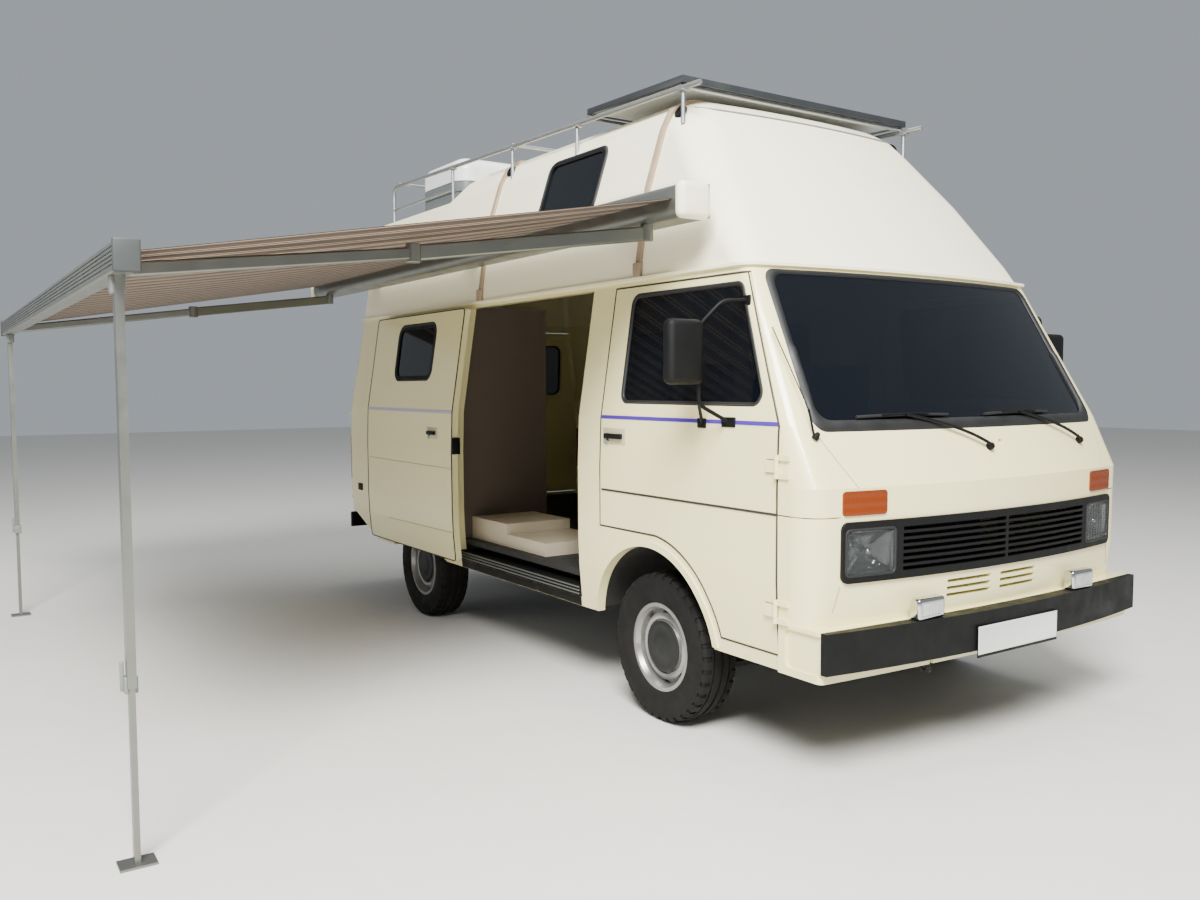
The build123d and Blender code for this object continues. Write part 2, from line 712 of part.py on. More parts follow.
for place, y in WHEEL_PLACES:
    for side, sign in (("left", 1), ("right", -1)):
        spot = Pos(sign * wheel_x, y, tyre_radius) * Rot(0, 0, 0 if sign > 0 else 180)
        add(f"tyre_{place}_{side}", spot * tyre)
        add(f"rim_{place}_{side}", spot * rim)

# Steering knuckles on their king pins, and the front axle's cross member and arms
pin_x = 785.0
pin_radius = 15.0
knuckle_radius = 30.0
arm_low = 186.0
arm_high = 398.0
arm_thick = 22.0
knuckle_gap = 1.0
stub_reach = 905.0
knuckle = Pos(pin_x, 0, (arm_low + arm_thick + arm_high) / 2) * Cylinder(
    knuckle_radius, arm_high - arm_low - arm_thick - 2 * knuckle_gap
)
knuckle = knuckle + cross_rod(stub_radius + 12, pin_x, wheel_x - 22, 0, tyre_radius)
knuckle = knuckle + cross_rod(stub_radius, pin_x, stub_reach, 0, tyre_radius)
knuckle = knuckle - Pos(pin_x, 0, tyre_radius) * Cylinder(pin_radius + running_fit, 600)
for side, sign in (("left", 1), ("right", -1)):
    add(f"knuckle_{side}", knuckle if sign > 0 else mirror(knuckle, about=Plane.YZ))
arm_root = 330.0
member_width = 110.0
front_axle = box(-arm_root, arm_root, -member_width / 2, member_width / 2, arm_low - 6, rail_bottom)
front_axle = front_axle - box(-arm_root + 60, arm_root - 60, -200, 200, arm_low + 60, rail_bottom - 50)
front_axle = front_axle + box(-rail_x - 32, rail_x + 32, -member_width / 2, member_width / 2, rail_bottom - 28, rail_bottom)
for sign in (1, -1):
    for z, root in ((arm_low, arm_root), (arm_high, rail_x)):
        corners = [(root, -60), (pin_x, -26), (pin_x, 26), (root, 60)]
        arm = extrude(make_face(Polyline(*corners, close=True)), arm_thick)
        arm = Pos(0, 0, z) * arm + Pos(pin_x, 0, z + arm_thick / 2) * Cylinder(26, arm_thick)
        front_axle = front_axle + (arm if sign > 0 else mirror(arm, about=Plane.YZ))
    pin = Pos(sign * pin_x, 0, (arm_low + arm_high + arm_thick) / 2) * Cylinder(pin_radius, arm_high + arm_thick - arm_low)
    front_axle = front_axle + pin
add("front_axle", front_axle)

# Rear axle on its leaf springs
axle_tube = 45.0
drum_radius = 128.0
diff_radius = 118.0
rear_axle = cross_rod(axle_tube, -790, 790, wheelbase, tyre_radius)
rear_axle = rear_axle + cross_rod(diff_radius, -70, 70, wheelbase, tyre_radius)
for sign in (1, -1):
    drum = cross_rod(drum_radius, 770, 822, wheelbase, tyre_radius)
    stub = cross_rod(stub_radius, 790, stub_reach, wheelbase, tyre_radius)
    for piece in (drum, stub):
        rear_axle = rear_axle + (piece if sign > 0 else mirror(piece, about=Plane.YZ))
LEAVES = [(568.0, 0.0), (420.0, 1.0), (270.0, 2.0)]
leaf_thick = 9.0
leaf_width = 60.0
leaf_camber = 17.0
spring_seat = tyre_radius + axle_tube - 6
leaf_stack = None
main_z = spring_seat + leaf_thick * len(LEAVES)
for half_length, level in LEAVES:
    top = main_z - leaf_thick * level
    lift = leaf_camber * (half_length / LEAVES[0][0]) ** 2
    upper = ThreePointArc((-half_length, top + lift), (0, top), (half_length, top + lift))
    lower = ThreePointArc((-half_length, top + lift - leaf_thick), (0, top - leaf_thick), (half_length, top + lift - leaf_thick))
    ends = [
        Line((-half_length, top + lift), (-half_length, top + lift - leaf_thick)),
        Line((half_length, top + lift), (half_length, top + lift - leaf_thick)),
    ]
    leaf = extrude(Plane.YZ * make_face([upper, lower, *ends]), leaf_width / 2, both=True)
    leaf_stack = leaf if leaf_stack is None else leaf_stack + leaf
hanger_low = main_z + leaf_camber - leaf_thick
for sign in (1, -1):
    leaf_stack = leaf_stack + box(-30, 30, sign * LEAVES[0][0] - 24, sign * LEAVES[0][0] + 24, hanger_low, rail_bottom)
springs = [spring - rear_axle for spring in both_sides(Pos(rail_x, wheelbase, 0) * leaf_stack)]
add("leaf_springs", springs)
add("rear_axle", rear_axle)

# Engine block under its cover, gearbox, propeller shaft, exhaust and tank
engine_half = 200.0
engine_front = -700.0
engine_rear = 60.0
engine_top = 880.0
engine_low = 440.0
engine = box(-engine_half, engine_half, engine_front, engine_rear, engine_low, engine_top)
ear = box(-rail_x + rail_width / 2, rail_x - rail_width / 2, -330, -270, 460, 500)
cover_gap = 24.0
cover_wall = 8.0
cover_half = engine_half + cover_gap + cover_wall
cover_front = -760.0
cover_rear = engine_rear + cover_gap + cover_wall
floor_top = rail_top + floor_thick
cover_top = engine_top + cover_gap + cover_wall
cover = box(-cover_half, cover_half, cover_front, cover_rear, floor_top, cover_top)
cover = fillet(cover.edges().filter_by(Axis.Y).sort_by(Axis.Z)[-2:], 45)
cover = cover - box(
    -cover_half + cover_wall,
    cover_half - cover_wall,
    cover_front + cover_wall,
    cover_rear - cover_wall,
    0,
    cover_top - cover_wall,
)
nodes["floor_pan"] = nodes["floor_pan"] - box(
    -cover_half + cover_wall, cover_half - cover_wall, cover_front + cover_wall, cover_rear - cover_wall, 0, 1000
)
gearbox = box(-110, 110, engine_rear, 520, 385, 540)
shaft = rod((0, 500, 405), (0, 2420, 338), 34)
shaft_clear = cross_rod(diff_radius + clear, -200, 200, wheelbase, tyre_radius)
add("engine_block", engine + ear + gearbox + (shaft - shaft_clear))
exhaust_x = -230.0
exhaust_z = 418.0
exhaust = rod((exhaust_x, -40, exhaust_z), (exhaust_x, 3690, exhaust_z), 24)
exhaust = exhaust + rod((exhaust_x, 800, exhaust_z), (exhaust_x, 1420, exhaust_z), 62)
exhaust = exhaust + box(exhaust_x - 24, -engine_half, -90, -30, exhaust_z - 24, 480)
add("exhaust", exhaust - nodes["front_axle"])
tank = box(80, rail_x - rail_width / 2, 1600, 2150, 330, 455)
tank = fillet(tank.edges().filter_by(Axis.Y), 22)
add("fuel_tank", tank)

# Rear bumper and tail lamps
rear_bumper_in = tail_y + 16.0
rear_bumper_out = tail_y + 72.0
rear_bumper_bottom = 440.0
rear_bumper_top = 545.0
rear_bumper = box(-985, 985, rear_bumper_in, rear_bumper_out, rear_bumper_bottom, rear_bumper_top)
rear_bumper = fillet(rear_bumper.edges().filter_by(Axis.Z).sort_by(Axis.Y)[-2:], 40)
for sign in (1, -1):
    rear_bumper = rear_bumper + box(
        sign * rail_x - 25, sign * rail_x + 25, rail_rear_y, rear_bumper_in + 1, 465, 520
    )
add("bumpers", [bumper, rear_bumper])
tail_prism = front_prism(rectangle(950, 1000, 800, 1120), 8, 3600, 3900)
tail_layer = body_solid(-8.0) - body_solid(20.0)
tail_prisms = both_sides(tail_prism)
add("tail_lamps", [tail_layer & prism for prism in tail_prisms])
for prism in tail_prisms:
    nodes["rear_frame"] = nodes["rear_frame"] - prism

# Door mirrors on looped tube arms
mirror_x = 1205.0
mirror_y = -460.0
mirror_low = 1484.0
mirror_high = 1744.0
mirror_half = 95.0
mirror_depth = 62.0
housing = box(mirror_x - mirror_half, mirror_x + mirror_half, mirror_y - mirror_depth / 2, mirror_y + mirror_depth / 2, mirror_low, mirror_high)
housing = fillet(housing.edges().filter_by(Axis.Y), 28)
housing = fillet(housing.edges().group_by(Axis.Y)[0], 14)
tube = 8.0
arm_top = (mirror_x, mirror_y, mirror_high + 45)
arm_foot = (mirror_x, mirror_y, mirror_low - 45)
upper_root_z = 1800.0
lower_root_z = 1375.0
arm = rod((905, -520, upper_root_z), arm_top, tube) + rod(arm_top, arm_foot, tube)
arm = arm + rod(arm_foot, (960, -500, lower_root_z), tube) + Pos(*arm_top) * Sphere(tube) + Pos(*arm_foot) * Sphere(tube)
arm = arm + rod(arm_foot, (965, -330, lower_root_z - 20), tube)
arm = arm - outer
mirror_piece = housing + arm
mirror_solids = mirror_piece.solids()
mirror_piece = mirror_solids.sort_by(SortBy.VOLUME)[-1]
add("mirror_left", mirror_piece)
add("mirror_right", mirror(mirror_piece, about=Plane.YZ))

# Wipers, parked along the foot of the windscreen
WIPERS = [(50.0, -420.0), (700.0, -420.0)]
wiper_z = 1245.0
wiper_blade_z = 1352.0
wiper_out = 14.0
wiper_solids = []
for pivot_x, reach in WIPERS:
    stud_y = nose_y(pivot_x, wiper_z)
    stud = rod((pivot_x, stud_y + 33, wiper_z), (pivot_x, stud_y - wiper_out - 8, wiper_z), 13)
    nodes["front_panel"] = nodes["front_panel"] - stud
    tip_x = pivot_x + reach
    tip = (tip_x, nose_y(tip_x, wiper_blade_z) - wiper_out, wiper_blade_z)
    arm = rod((pivot_x, stud_y - wiper_out, wiper_z), tip, 5)
    blade_start = (tip_x - 200, nose_y(tip_x - 200, wiper_blade_z) - wiper_out + 4, wiper_blade_z - 2)
    blade_end = (tip_x + 200, nose_y(tip_x + 200, wiper_blade_z) - wiper_out + 4, wiper_blade_z - 2)
    wiper_solids.append((stud + arm + rod(blade_start, blade_end, 7)) - outer + (stud & outer))
add("wipers", wiper_solids)

# Roof rack with its posts and cross bars
rack_x = 740.0
rack_z = 2850.0
rack_tube = 12.0
rack_front_y = 0.0
rack_rear_y = 3440.0
RACK_POSTS = [200.0, 1000.0, 1750.0, 2560.0, 3360.0]
RACK_BARS = [140.0, 900.0, 1700.0, 3360.0]
rack = None
for sign in (1, -1):
    rail = rod((sign * rack_x, rack_front_y, rack_z), (sign * rack_x, rack_rear_y, rack_z), rack_tube)
    rack = rail if rack is None else rack + rail
    for y in RACK_POSTS:
        post = rod((sign * rack_x, y, roof_deck_z - 60), (sign * rack_x, y, rack_z), rack_tube - 2)
        rack = rack + (post - (roof_outer - deck_cut))
for y in RACK_BARS:
    rack = rack + rod((-rack_x, y, rack_z), (rack_x, y, rack_z), rack_tube)
rack = rack.solids().sort_by(SortBy.VOLUME)[-1]
add("roof_rack", rack)
panel_low = rack_z + rack_tube
solar = box(-690, 690, 112, 892, panel_low, panel_low + 35)
add("solar_panel", solar)
locker_half = 620.0
locker_front = 2620.0
locker_rear = 3250.0
locker = box(-locker_half, locker_half, locker_front, locker_rear, roof_deck_z, 2990)
locker = fillet(locker.edges().filter_by(Axis.Z), 110)
locker = fillet(locker.edges().group_by(Axis.Z)[-1], 80)
band_low = 2690.0
band_high = 2830.0
band_depth = 6.0
for z in (band_low, (band_low + band_high) / 2, band_high):
    ring = box(-700, 700, 2500, 3400, z - 4, z + 4)
    inset = box(-locker_half + band_depth, locker_half - band_depth, locker_front + band_depth, locker_rear - band_depth, z - 5, z + 5)
    inset = fillet(inset.edges().filter_by(Axis.Z), 104)
    locker = locker - (ring - inset)
add("roof_locker", locker)

# Support bars up the roof's sides, from the gutter to the rack rails
BAR_PLACES = [60.0, 1650.0]
bar_radius = 10.0
bar_points = [
    (body_top + gutter_height + 2, 8.0),
    (2370.0, bar_radius + 3),
    (2640.0, bar_radius + 3),
    (2750.0, bar_radius + 12),
]
support_bars = []
for y in BAR_PLACES:
    stations = []
    for z, off in bar_points:
        stations.append((skin_at(ROOF_SECTIONS, z)[0] + off, y, z))
    bar = None
    for start, end in zip(stations, stations[1:]):
        piece = rod(start, end, bar_radius) + Pos(*end) * Sphere(bar_radius)
        bar = piece if bar is None else bar + piece
    bar = bar + Pos(*stations[0]) * Box(30, 40, 20)
    bar = (bar - nodes["roof_shell"]).solids().sort_by(SortBy.VOLUME)[-1]
    support_bars.extend(both_sides(bar))
add("support_bars", support_bars)

# Awning: cassette on its brackets, folding arms, lead rail, legs and cloth
awning_far_y = awning_near_y + awning_length
cassette_top = cassette_bottom + cassette_height
cassette_out_x = cassette_in_x - cassette_depth
cassette = box(cassette_out_x, cassette_in_x, awning_near_y, awning_far_y, cassette_bottom, cassette_top)
cassette = fillet(cassette.edges().filter_by(Axis.Y).sort_by(Axis.X)[:2], 40)
AWNING_BRACKETS = [300.0, 1900.0, 3400.0]
brackets = []
for y in AWNING_BRACKETS:
    bracket = box(cassette_in_x, -700, y - 40, y + 40, cassette_bottom + 25, cassette_top - 25)
    bracket = bracket - roof_outer
    brackets.append(bracket.solids().sort_by(Axis.X)[0])
for bracket in brackets:
    cassette = cassette + bracket
add("awning_cassette", cassette)
lead_out_x = awning_reach_x
lead_in_x = awning_reach_x + lead_depth
lead_top = lead_bottom + lead_height
lead = box(lead_out_x, lead_in_x, awning_near_y, awning_far_y, lead_bottom, lead_top)
lead = fillet(lead.edges().filter_by(Axis.Y), 10)
rib_count = 5
rib_groove = 5.0
rib_depth = 4.0
rib_pitch = (lead_height - 26.0) / rib_count
for index in range(rib_count):
    middle = lead_bottom + 13.0 + rib_pitch * (index + 0.5)
    lead = lead - box(
        lead_out_x, lead_out_x + rib_depth, awning_near_y, awning_far_y, middle - rib_groove / 2, middle + rib_groove / 2
    )
add("awning_rail", lead)
cloth_thick = 4.0
cloth_high = cassette_bottom + 72.0
cloth_low = lead_top - 26.0
cloth_end = 55.0
cloth_outline = [
    (cassette_out_x, cloth_high),
    (lead_in_x, cloth_low),
    (lead_in_x, cloth_low - cloth_thick),
    (cassette_out_x, cloth_high - cloth_thick),
]
cloth_face = Plane.XZ.offset(-awning_near_y - cloth_end) * make_face(Polyline(*cloth_outline, close=True))
cloth = extrude(cloth_face, awning_length - 2 * cloth_end, dir=(0, 1, 0))
add("awning_fabric", cloth)
ARMS = [("near", -50.0, 140.0), ("far", 3890.0, -140.0)]
arm_height = 60.0
arm_thick_y = 30.0
arm_corner = 8.0
pivot_radius = 27.0
shoulder = (cassette_out_x + 42, cassette_bottom - 34)
elbow = (-2060.0, 1982.0)
wrist = (lead_in_x, lead_bottom + 30.0)
forearm_height = 46.0


def flat_bar(start, end, height, thick):
    """Bar of a rounded flat section, upright, from start to end."""
    a = Vector(*start)
    b = Vector(*end)
    along = (b - a).normalized()
    across = along.cross(Vector(0, 0, 1)).normalized()
    section = Plane(origin=a, x_dir=across, z_dir=along) * RectangleRounded(thick, height, arm_corner)
    return extrude(section, (b - a).length)


arm_solids = []
for label, y, lean in ARMS:
    a = (shoulder[0], y, shoulder[1])
    b = (elbow[0], y + lean, elbow[1])
    c = (wrist[0] - 10, y, wrist[1])
    arm = flat_bar(a, b, arm_height, arm_thick_y) + flat_bar(b, c, forearm_height, arm_thick_y)
    arm = arm + Pos(*b) * Cylinder(pivot_radius, arm_height)
    pivot_top = cassette_bottom - (a[2] - arm_height / 2)
    arm = arm + Pos(a[0], y, a[2] - arm_height / 2 + pivot_top / 2) * Cylinder(pivot_radius, pivot_top)
    arm = (arm - lead - box(-1300, 0, -600, 5000, cassette_bottom, 3000)).solids().sort_by(SortBy.VOLUME)[-1]
    arm_solids.append(arm)
add("awning_arms", arm_solids)
leg_x = lead_out_x + lead_depth / 2
leg_width = 42.0
leg_depth = 26.0
leg_slide = 560.0
foot_thick = 8.0
legs = []
for y in (awning_near_y + leg_inset, awning_far_y - leg_inset):
    leg = box(leg_x - leg_depth / 2, leg_x + leg_depth / 2, y - leg_width / 2, y + leg_width / 2, leg_slide, lead_bottom)
    inner_leg = box(leg_x - 9, leg_x + 9, y - 16, y + 16, 0, leg_slide + 10)
    foot = box(leg_x - 55, leg_x + 55, y - 40, y + 40, 0, foot_thick)
    legs.append(leg + inner_leg + foot)
add("awning_legs", legs)

# Cab and living space
dash_half = 925.0
dash_zone = box(-dash_half, dash_half, -1100, -560, 1030, 1270)
add("dashboard", cabin & dash_zone)
wheel_centre = (470.0, -400.0, 1230.0)
column_foot = (470.0, -600.0, 1000.0)
axis = Vector(*wheel_centre) - Vector(*column_foot)
wheel_plane = Plane(origin=wheel_centre, z_dir=axis)
steering = wheel_plane * Torus(205, 14) + wheel_plane * Cylinder(45, 30)
for angle in (0, 120, 240):
    steering = steering + wheel_plane * Rot(0, 0, angle) * Pos(105, 0, 0) * Box(205, 26, 12)
steering = steering + rod(column_foot, wheel_centre, 22)
steering = (steering - nodes["dashboard"]).solids().sort_by(SortBy.VOLUME)[-1]
add("steering_wheel", steering)
seat_x = 490.0
seat_half = 245.0
seat_front = -260.0
seat_rear = 250.0
house_top = arch_z + arch_radius + house_wall
seat_base_top = 905.0
bases = box(seat_x - 225, seat_x + 225, seat_front + 30, seat_rear - 30, house_top - 60, seat_base_top)
for solid in houses[:2]:
    bases = bases - solid
void = cross_rod(arch_radius + house_wall, house_in_x, 1200, arch_shift, arch_z)
bases = (bases - void).solids().sort_by(SortBy.VOLUME)[-1]
bases = bases + box(seat_x - 225, house_in_x - 40, seat_front + 30, seat_rear - 30, floor_top, house_top)
add("cab_boxes", both_sides(bases) + [cover])
cushion = box(seat_x - seat_half, seat_x + seat_half, seat_front, seat_rear, seat_base_top + clear, seat_base_top + 125)
cushion = fillet(cushion.edges(), 40)
back = box(
    seat_x - seat_half, seat_x + seat_half, seat_rear + clear, seat_rear + 120, seat_base_top + 8, 1620
)
back = fillet(back.edges(), 45)
add("seats", both_sides(cushion) + both_sides(back))
wardrobe = box(-955, -380, 1935, 2110, floor_top, 1945) & cabin
steps = [
    box(-900, -480, 1080, 1500, floor_top, 643),
    box(-900, -480, 1504, 1932, floor_top, 700),
]
add("cabinets", [wardrobe, *steps])

# Towing eye on the right-hand rail
eye_x = -rail_x - rail_width / 2
eye = side_prism([(-1030, 372), (-1030, 402), (-900, 470), (-870, 470), (-870, 430), (-950, 372)], 10, eye_x - 14, eye_x)
eye = eye - cross_rod(11, -600, 600, -1008, 389)
nodes["front_panel"] = nodes["front_panel"] - box(eye_x - 16, eye_x + 2, -1100, -900, 395, 475)
frame_rails[0] = frame_rails[0] + eye
add("chassis_frame", frame_rails)

# The whole van is set so that its origin is under the middle of its box
everything = Compound([solid for shape in nodes.values() for solid in shape.solids()]).bounding_box()
shift = (-(everything.min.X + everything.max.X) / 2, -(everything.min.Y + everything.max.Y) / 2, -everything.min.Z)
print("shift", [round(v, 3) for v in shift])
print("size", [round(v, 1) for v in everything.size])
for name, shape in nodes.items():
    export_step(Pos(*shift) * shape, f"parts/{name}.step")
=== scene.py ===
"""Camper van: finishes, rubber seals, trim, cloth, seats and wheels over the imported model."""

import json
import logging
import math
from contextlib import contextmanager
from dataclasses import dataclass, field
from enum import Enum
from typing import Any, Callable, Iterable, Iterator, Optional, Sequence

import bmesh
import bpy
from mathutils import Matrix, Vector
from mathutils.bvhtree import BVHTree


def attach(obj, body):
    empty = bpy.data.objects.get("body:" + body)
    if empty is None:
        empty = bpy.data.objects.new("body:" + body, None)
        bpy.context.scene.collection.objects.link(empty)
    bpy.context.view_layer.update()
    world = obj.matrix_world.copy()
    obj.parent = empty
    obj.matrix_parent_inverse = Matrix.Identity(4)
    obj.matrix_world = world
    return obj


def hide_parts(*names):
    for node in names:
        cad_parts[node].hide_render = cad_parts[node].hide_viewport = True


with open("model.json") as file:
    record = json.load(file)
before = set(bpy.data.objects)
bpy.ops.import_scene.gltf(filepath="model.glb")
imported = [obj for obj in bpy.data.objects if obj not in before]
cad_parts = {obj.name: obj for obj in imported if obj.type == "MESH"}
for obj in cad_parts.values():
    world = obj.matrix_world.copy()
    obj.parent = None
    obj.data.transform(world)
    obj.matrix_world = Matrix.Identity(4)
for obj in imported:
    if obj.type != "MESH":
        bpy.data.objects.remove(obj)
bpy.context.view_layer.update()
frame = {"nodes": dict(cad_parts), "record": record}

LOG = logging.getLogger("camper")

Obj = bpy.types.Object
Tree = bpy.types.NodeTree
Socket = bpy.types.NodeSocket
Span = tuple[float, float]
Facing = Callable[[Vector, Vector], bool]

# The frame's place for the van's own zero: middle of the van, front axle, ground
ZERO = Vector((0.940, -1.529, 0.0))

# How far out from the van's zero a line that looks for its skin starts, in millimetres
OUTSIDE = 1500.0

# Angles up to which shading is smooth: on pieces with edges, on soft ones, on beads and tubes
EDGED, SOFT, ROUND = 35.0, 50.0, 60.0


def at(x: float, y: float, z: float) -> Vector:
    """Turn the van's own millimetres into the frame's metres.

    Args:
        x: Across, from the middle, positive to the driver's side.
        y: Along, from the front axle, positive to the tail.
        z: Up, from the ground.

    Returns:
        The point in the frame.
    """
    return ZERO + Vector((x, y, z)) / 1000.0


def van_mm(point: Vector) -> Vector:
    """Turn the frame's metres into the van's own millimetres."""
    return (point - ZERO) * 1000


class Side(Enum):
    """A side of the van, by the sign of its x."""

    RIGHT = -1
    LEFT = 1

    @property
    def word(self) -> str:
        """The side's name in the frame's bodies and nodes."""
        return self.name.lower()


class Crown(Enum):
    """Where a seat pad's crown looks."""

    UP = 1
    FORWARDS = -1


# ---------------------------------------------------------------- materials

RGBA = {"data_type": "RGBA"}

# A wave texture draws about 6.3 bands in one unit of its scale
BANDS_PER_UNIT = 6.3


def linear(code: str) -> tuple[float, float, float, float]:
    """Turn an sRGB hex colour into linear red, green, blue and alpha.

    Args:
        code: Six hex digits.

    Returns:
        Four numbers from 0 to 1.
    """
    parts = [int(code[i:i + 2], 16) / 255.0 for i in (0, 2, 4)]
    curve = [c / 12.92 if c <= 0.04045 else ((c + 0.055) / 1.055) ** 2.4 for c in parts]
    return (curve[0], curve[1], curve[2], 1.0)


def add(tree: Tree, kind: str, settings: Optional[dict[str, Any]] = None, **inputs: Any) -> bpy.types.Node:
    """Add a node with its settings and links.

    Args:
        tree: The node tree that gets it.
        kind: The node's type name.
        settings: Attributes of the node itself.
        **inputs: Socket name, or i and a number, with a value or an output socket.

    Returns:
        The new node.
    """
    node = tree.nodes.new(kind)
    for key, value in (settings or {}).items():
        setattr(node, key, value)
    for key, value in inputs.items():
        by_number = key[0] == "i" and key[1:].isdigit()
        socket = node.inputs[int(key[1:]) if by_number else key.replace("_", " ")]
        if isinstance(value, Socket):
            tree.links.new(value, socket)
        else:
            socket.default_value = value
    return node


def per_mm(size: float) -> float:
    """Give the pattern scale whose features are about this many millimetres wide."""
    return 1000.0 / size


@dataclass(frozen=True)
class Finish:
    """A finish with two mottled colours, fine grain, wiped places and dirt low down."""

    name: str
    colour: str
    second: str
    roughness: float
    metallic: float = 0.0
    coat: float = 0.0
    specular: float = 0.5
    mottle_mm: float = 180.0
    mottle: float = 0.35
    grain_mm: float = 2.0
    grain: float = 0.05
    grain_depth_mm: float = 0.05
    dirt: str = "6F675A"
    dirt_amount: float = 0.0
    dirt_top: float = 0.75
    dirt_mm: float = 60.0
    sheen: float = 0.0
    wear_mm: float = 90.0
    wear: float = 0.2

    def colour_socket(self, tree: Tree, place: Socket) -> Socket:
        """Mix the two colours with the mottling and the dirt.

        Args:
            tree: The material's tree.
            place: The Object coordinates.

        Returns:
            The colour output.
        """
        cloud = add(
            tree, "ShaderNodeTexNoise", None,
            Vector=place, Scale=per_mm(self.mottle_mm), Detail=5.0, Roughness=0.6,
        )
        spread = add(
            tree, "ShaderNodeMapRange", None,
            Value=cloud.outputs["Fac"], From_Min=0.35, From_Max=0.7, To_Min=0.0, To_Max=self.mottle,
        )
        base = add(tree, "ShaderNodeMix", RGBA, i0=spread.outputs[0], i6=linear(self.colour), i7=linear(self.second))
        if self.dirt_amount <= 0:
            return base.outputs[2]
        height = add(tree, "ShaderNodeSeparateXYZ", None, Vector=place)
        low = add(
            tree, "ShaderNodeMapRange", {"interpolation_type": "SMOOTHSTEP"},
            Value=height.outputs["Z"], From_Min=self.dirt_top, From_Max=0.25, To_Min=0.0, To_Max=1.0,
        )
        patch = add(
            tree, "ShaderNodeTexNoise", None,
            Vector=place, Scale=per_mm(self.dirt_mm), Detail=8.0, Roughness=0.7,
        )
        share = add(tree, "ShaderNodeMath", {"operation": "MULTIPLY"}, i0=low.outputs[0], i1=patch.outputs["Fac"])
        amount = add(tree, "ShaderNodeMath", {"operation": "MULTIPLY"}, i0=share.outputs[0], i1=self.dirt_amount)
        soiled = add(tree, "ShaderNodeMix", RGBA, i0=amount.outputs[0], i6=base.outputs[2], i7=linear(self.dirt))
        return soiled.outputs[2]

    def two_tone(self, tree: Tree, place: Socket) -> Socket:
        """Mix the two colours by a plain cloud.

        Args:
            tree: The material's tree.
            place: The Object coordinates.

        Returns:
            The colour output.
        """
        cloud = add(tree, "ShaderNodeTexNoise", None, Vector=place, Scale=per_mm(self.mottle_mm), Detail=4.0)
        mixed = add(
            tree, "ShaderNodeMix", RGBA,
            i0=cloud.outputs["Fac"], i6=linear(self.colour), i7=linear(self.second),
        )
        return mixed.outputs[2]

    def bump_socket(self, tree: Tree, place: Socket) -> Socket:
        """Give the fine grain's normal.

        Args:
            tree: The material's tree.
            place: The Object coordinates.

        Returns:
            The normal output.
        """
        grain = add(tree, "ShaderNodeTexNoise", None, Vector=place, Scale=per_mm(self.grain_mm), Detail=3.0)
        depth = self.grain_depth_mm / 1000.0 * 4
        bump = add(
            tree, "ShaderNodeBump", None,
            Strength=min(1.0, self.grain * 4), Distance=depth, Height=grain.outputs["Fac"],
        )
        return bump.outputs[0]

    def rough_socket(self, tree: Tree, place: Socket) -> Socket:
        """Give the roughness with wiped and dull places.

        Args:
            tree: The material's tree.
            place: The Object coordinates.

        Returns:
            The roughness output.
        """
        worn = add(tree, "ShaderNodeTexNoise", None, Vector=place, Scale=per_mm(self.wear_mm), Detail=6.0)
        low, high = self.roughness * (1 - self.wear), min(1.0, self.roughness * (1 + self.wear))
        spread = add(
            tree, "ShaderNodeMapRange", None,
            Value=worn.outputs["Fac"], From_Min=0.3, From_Max=0.75, To_Min=low, To_Max=high,
        )
        return spread.outputs[0]

    def build(self) -> bpy.types.Material:
        """Make the material once and give it back.

        Returns:
            The material.
        """
        found = bpy.data.materials.get(self.name)
        if found is not None:
            return found
        material = bpy.data.materials.new(self.name)
        material.use_nodes = True
        tree = material.node_tree
        tree.nodes.clear()
        place = add(tree, "ShaderNodeTexCoord").outputs["Object"]
        shader = add(
            tree, "ShaderNodeBsdfPrincipled", None,
            Base_Color=self.colour_socket(tree, place), Roughness=self.rough_socket(tree, place),
            Normal=self.bump_socket(tree, place), Metallic=self.metallic, Coat_Weight=self.coat,
            Coat_Roughness=0.08, Specular_IOR_Level=self.specular, Sheen_Weight=self.sheen,
        )
        self.extras(shader)
        add(tree, "ShaderNodeOutputMaterial", None, Surface=shader.outputs[0])
        return material

    def extras(self, shader: bpy.types.Node) -> None:
        """Set what only some finishes have."""


@dataclass(frozen=True)
class Glazing(Finish):
    """Float glass, see-through by its alpha, so that the export keeps it."""

    alpha: float = 0.6
    ior: float = 1.5

    def extras(self, shader: bpy.types.Node) -> None:
        """Set the share of light that the pane stops, and how it bends the rest."""
        shader.inputs["Alpha"].default_value = self.alpha
        shader.inputs["IOR"].default_value = self.ior


@dataclass(frozen=True)
class LampLens(Finish):
    """A pressed lamp lens with upright flutes that catch the light."""

    flute_mm: float = 9.0

    def bump_socket(self, tree: Tree, place: Socket) -> Socket:
        """Give the flutes and their cross ribs as a normal.

        Args:
            tree: The material's tree.
            place: The Object coordinates.

        Returns:
            The normal output.
        """
        lines = []
        for direction, width in (("X", self.flute_mm), ("Z", self.flute_mm * 3)):
            kind = {"wave_type": "BANDS", "bands_direction": direction}
            scale = per_mm(width) / BANDS_PER_UNIT
            wave = add(tree, "ShaderNodeTexWave", kind, Vector=place, Scale=scale, Distortion=0.0)
            lines.append(wave.outputs["Fac"])
        both = add(tree, "ShaderNodeMath", {"operation": "ADD"}, i0=lines[0], i1=lines[1])
        return add(tree, "ShaderNodeBump", None, Strength=0.6, Distance=0.002, Height=both.outputs[0]).outputs[0]


@dataclass(frozen=True)
class ClearLens(LampLens):
    """A fluted lamp glass that lets the chromed bowl behind it show."""

    alpha: float = 0.32

    def extras(self, shader: bpy.types.Node) -> None:
        """Set the share of light that the glass stops."""
        shader.inputs["Alpha"].default_value = self.alpha


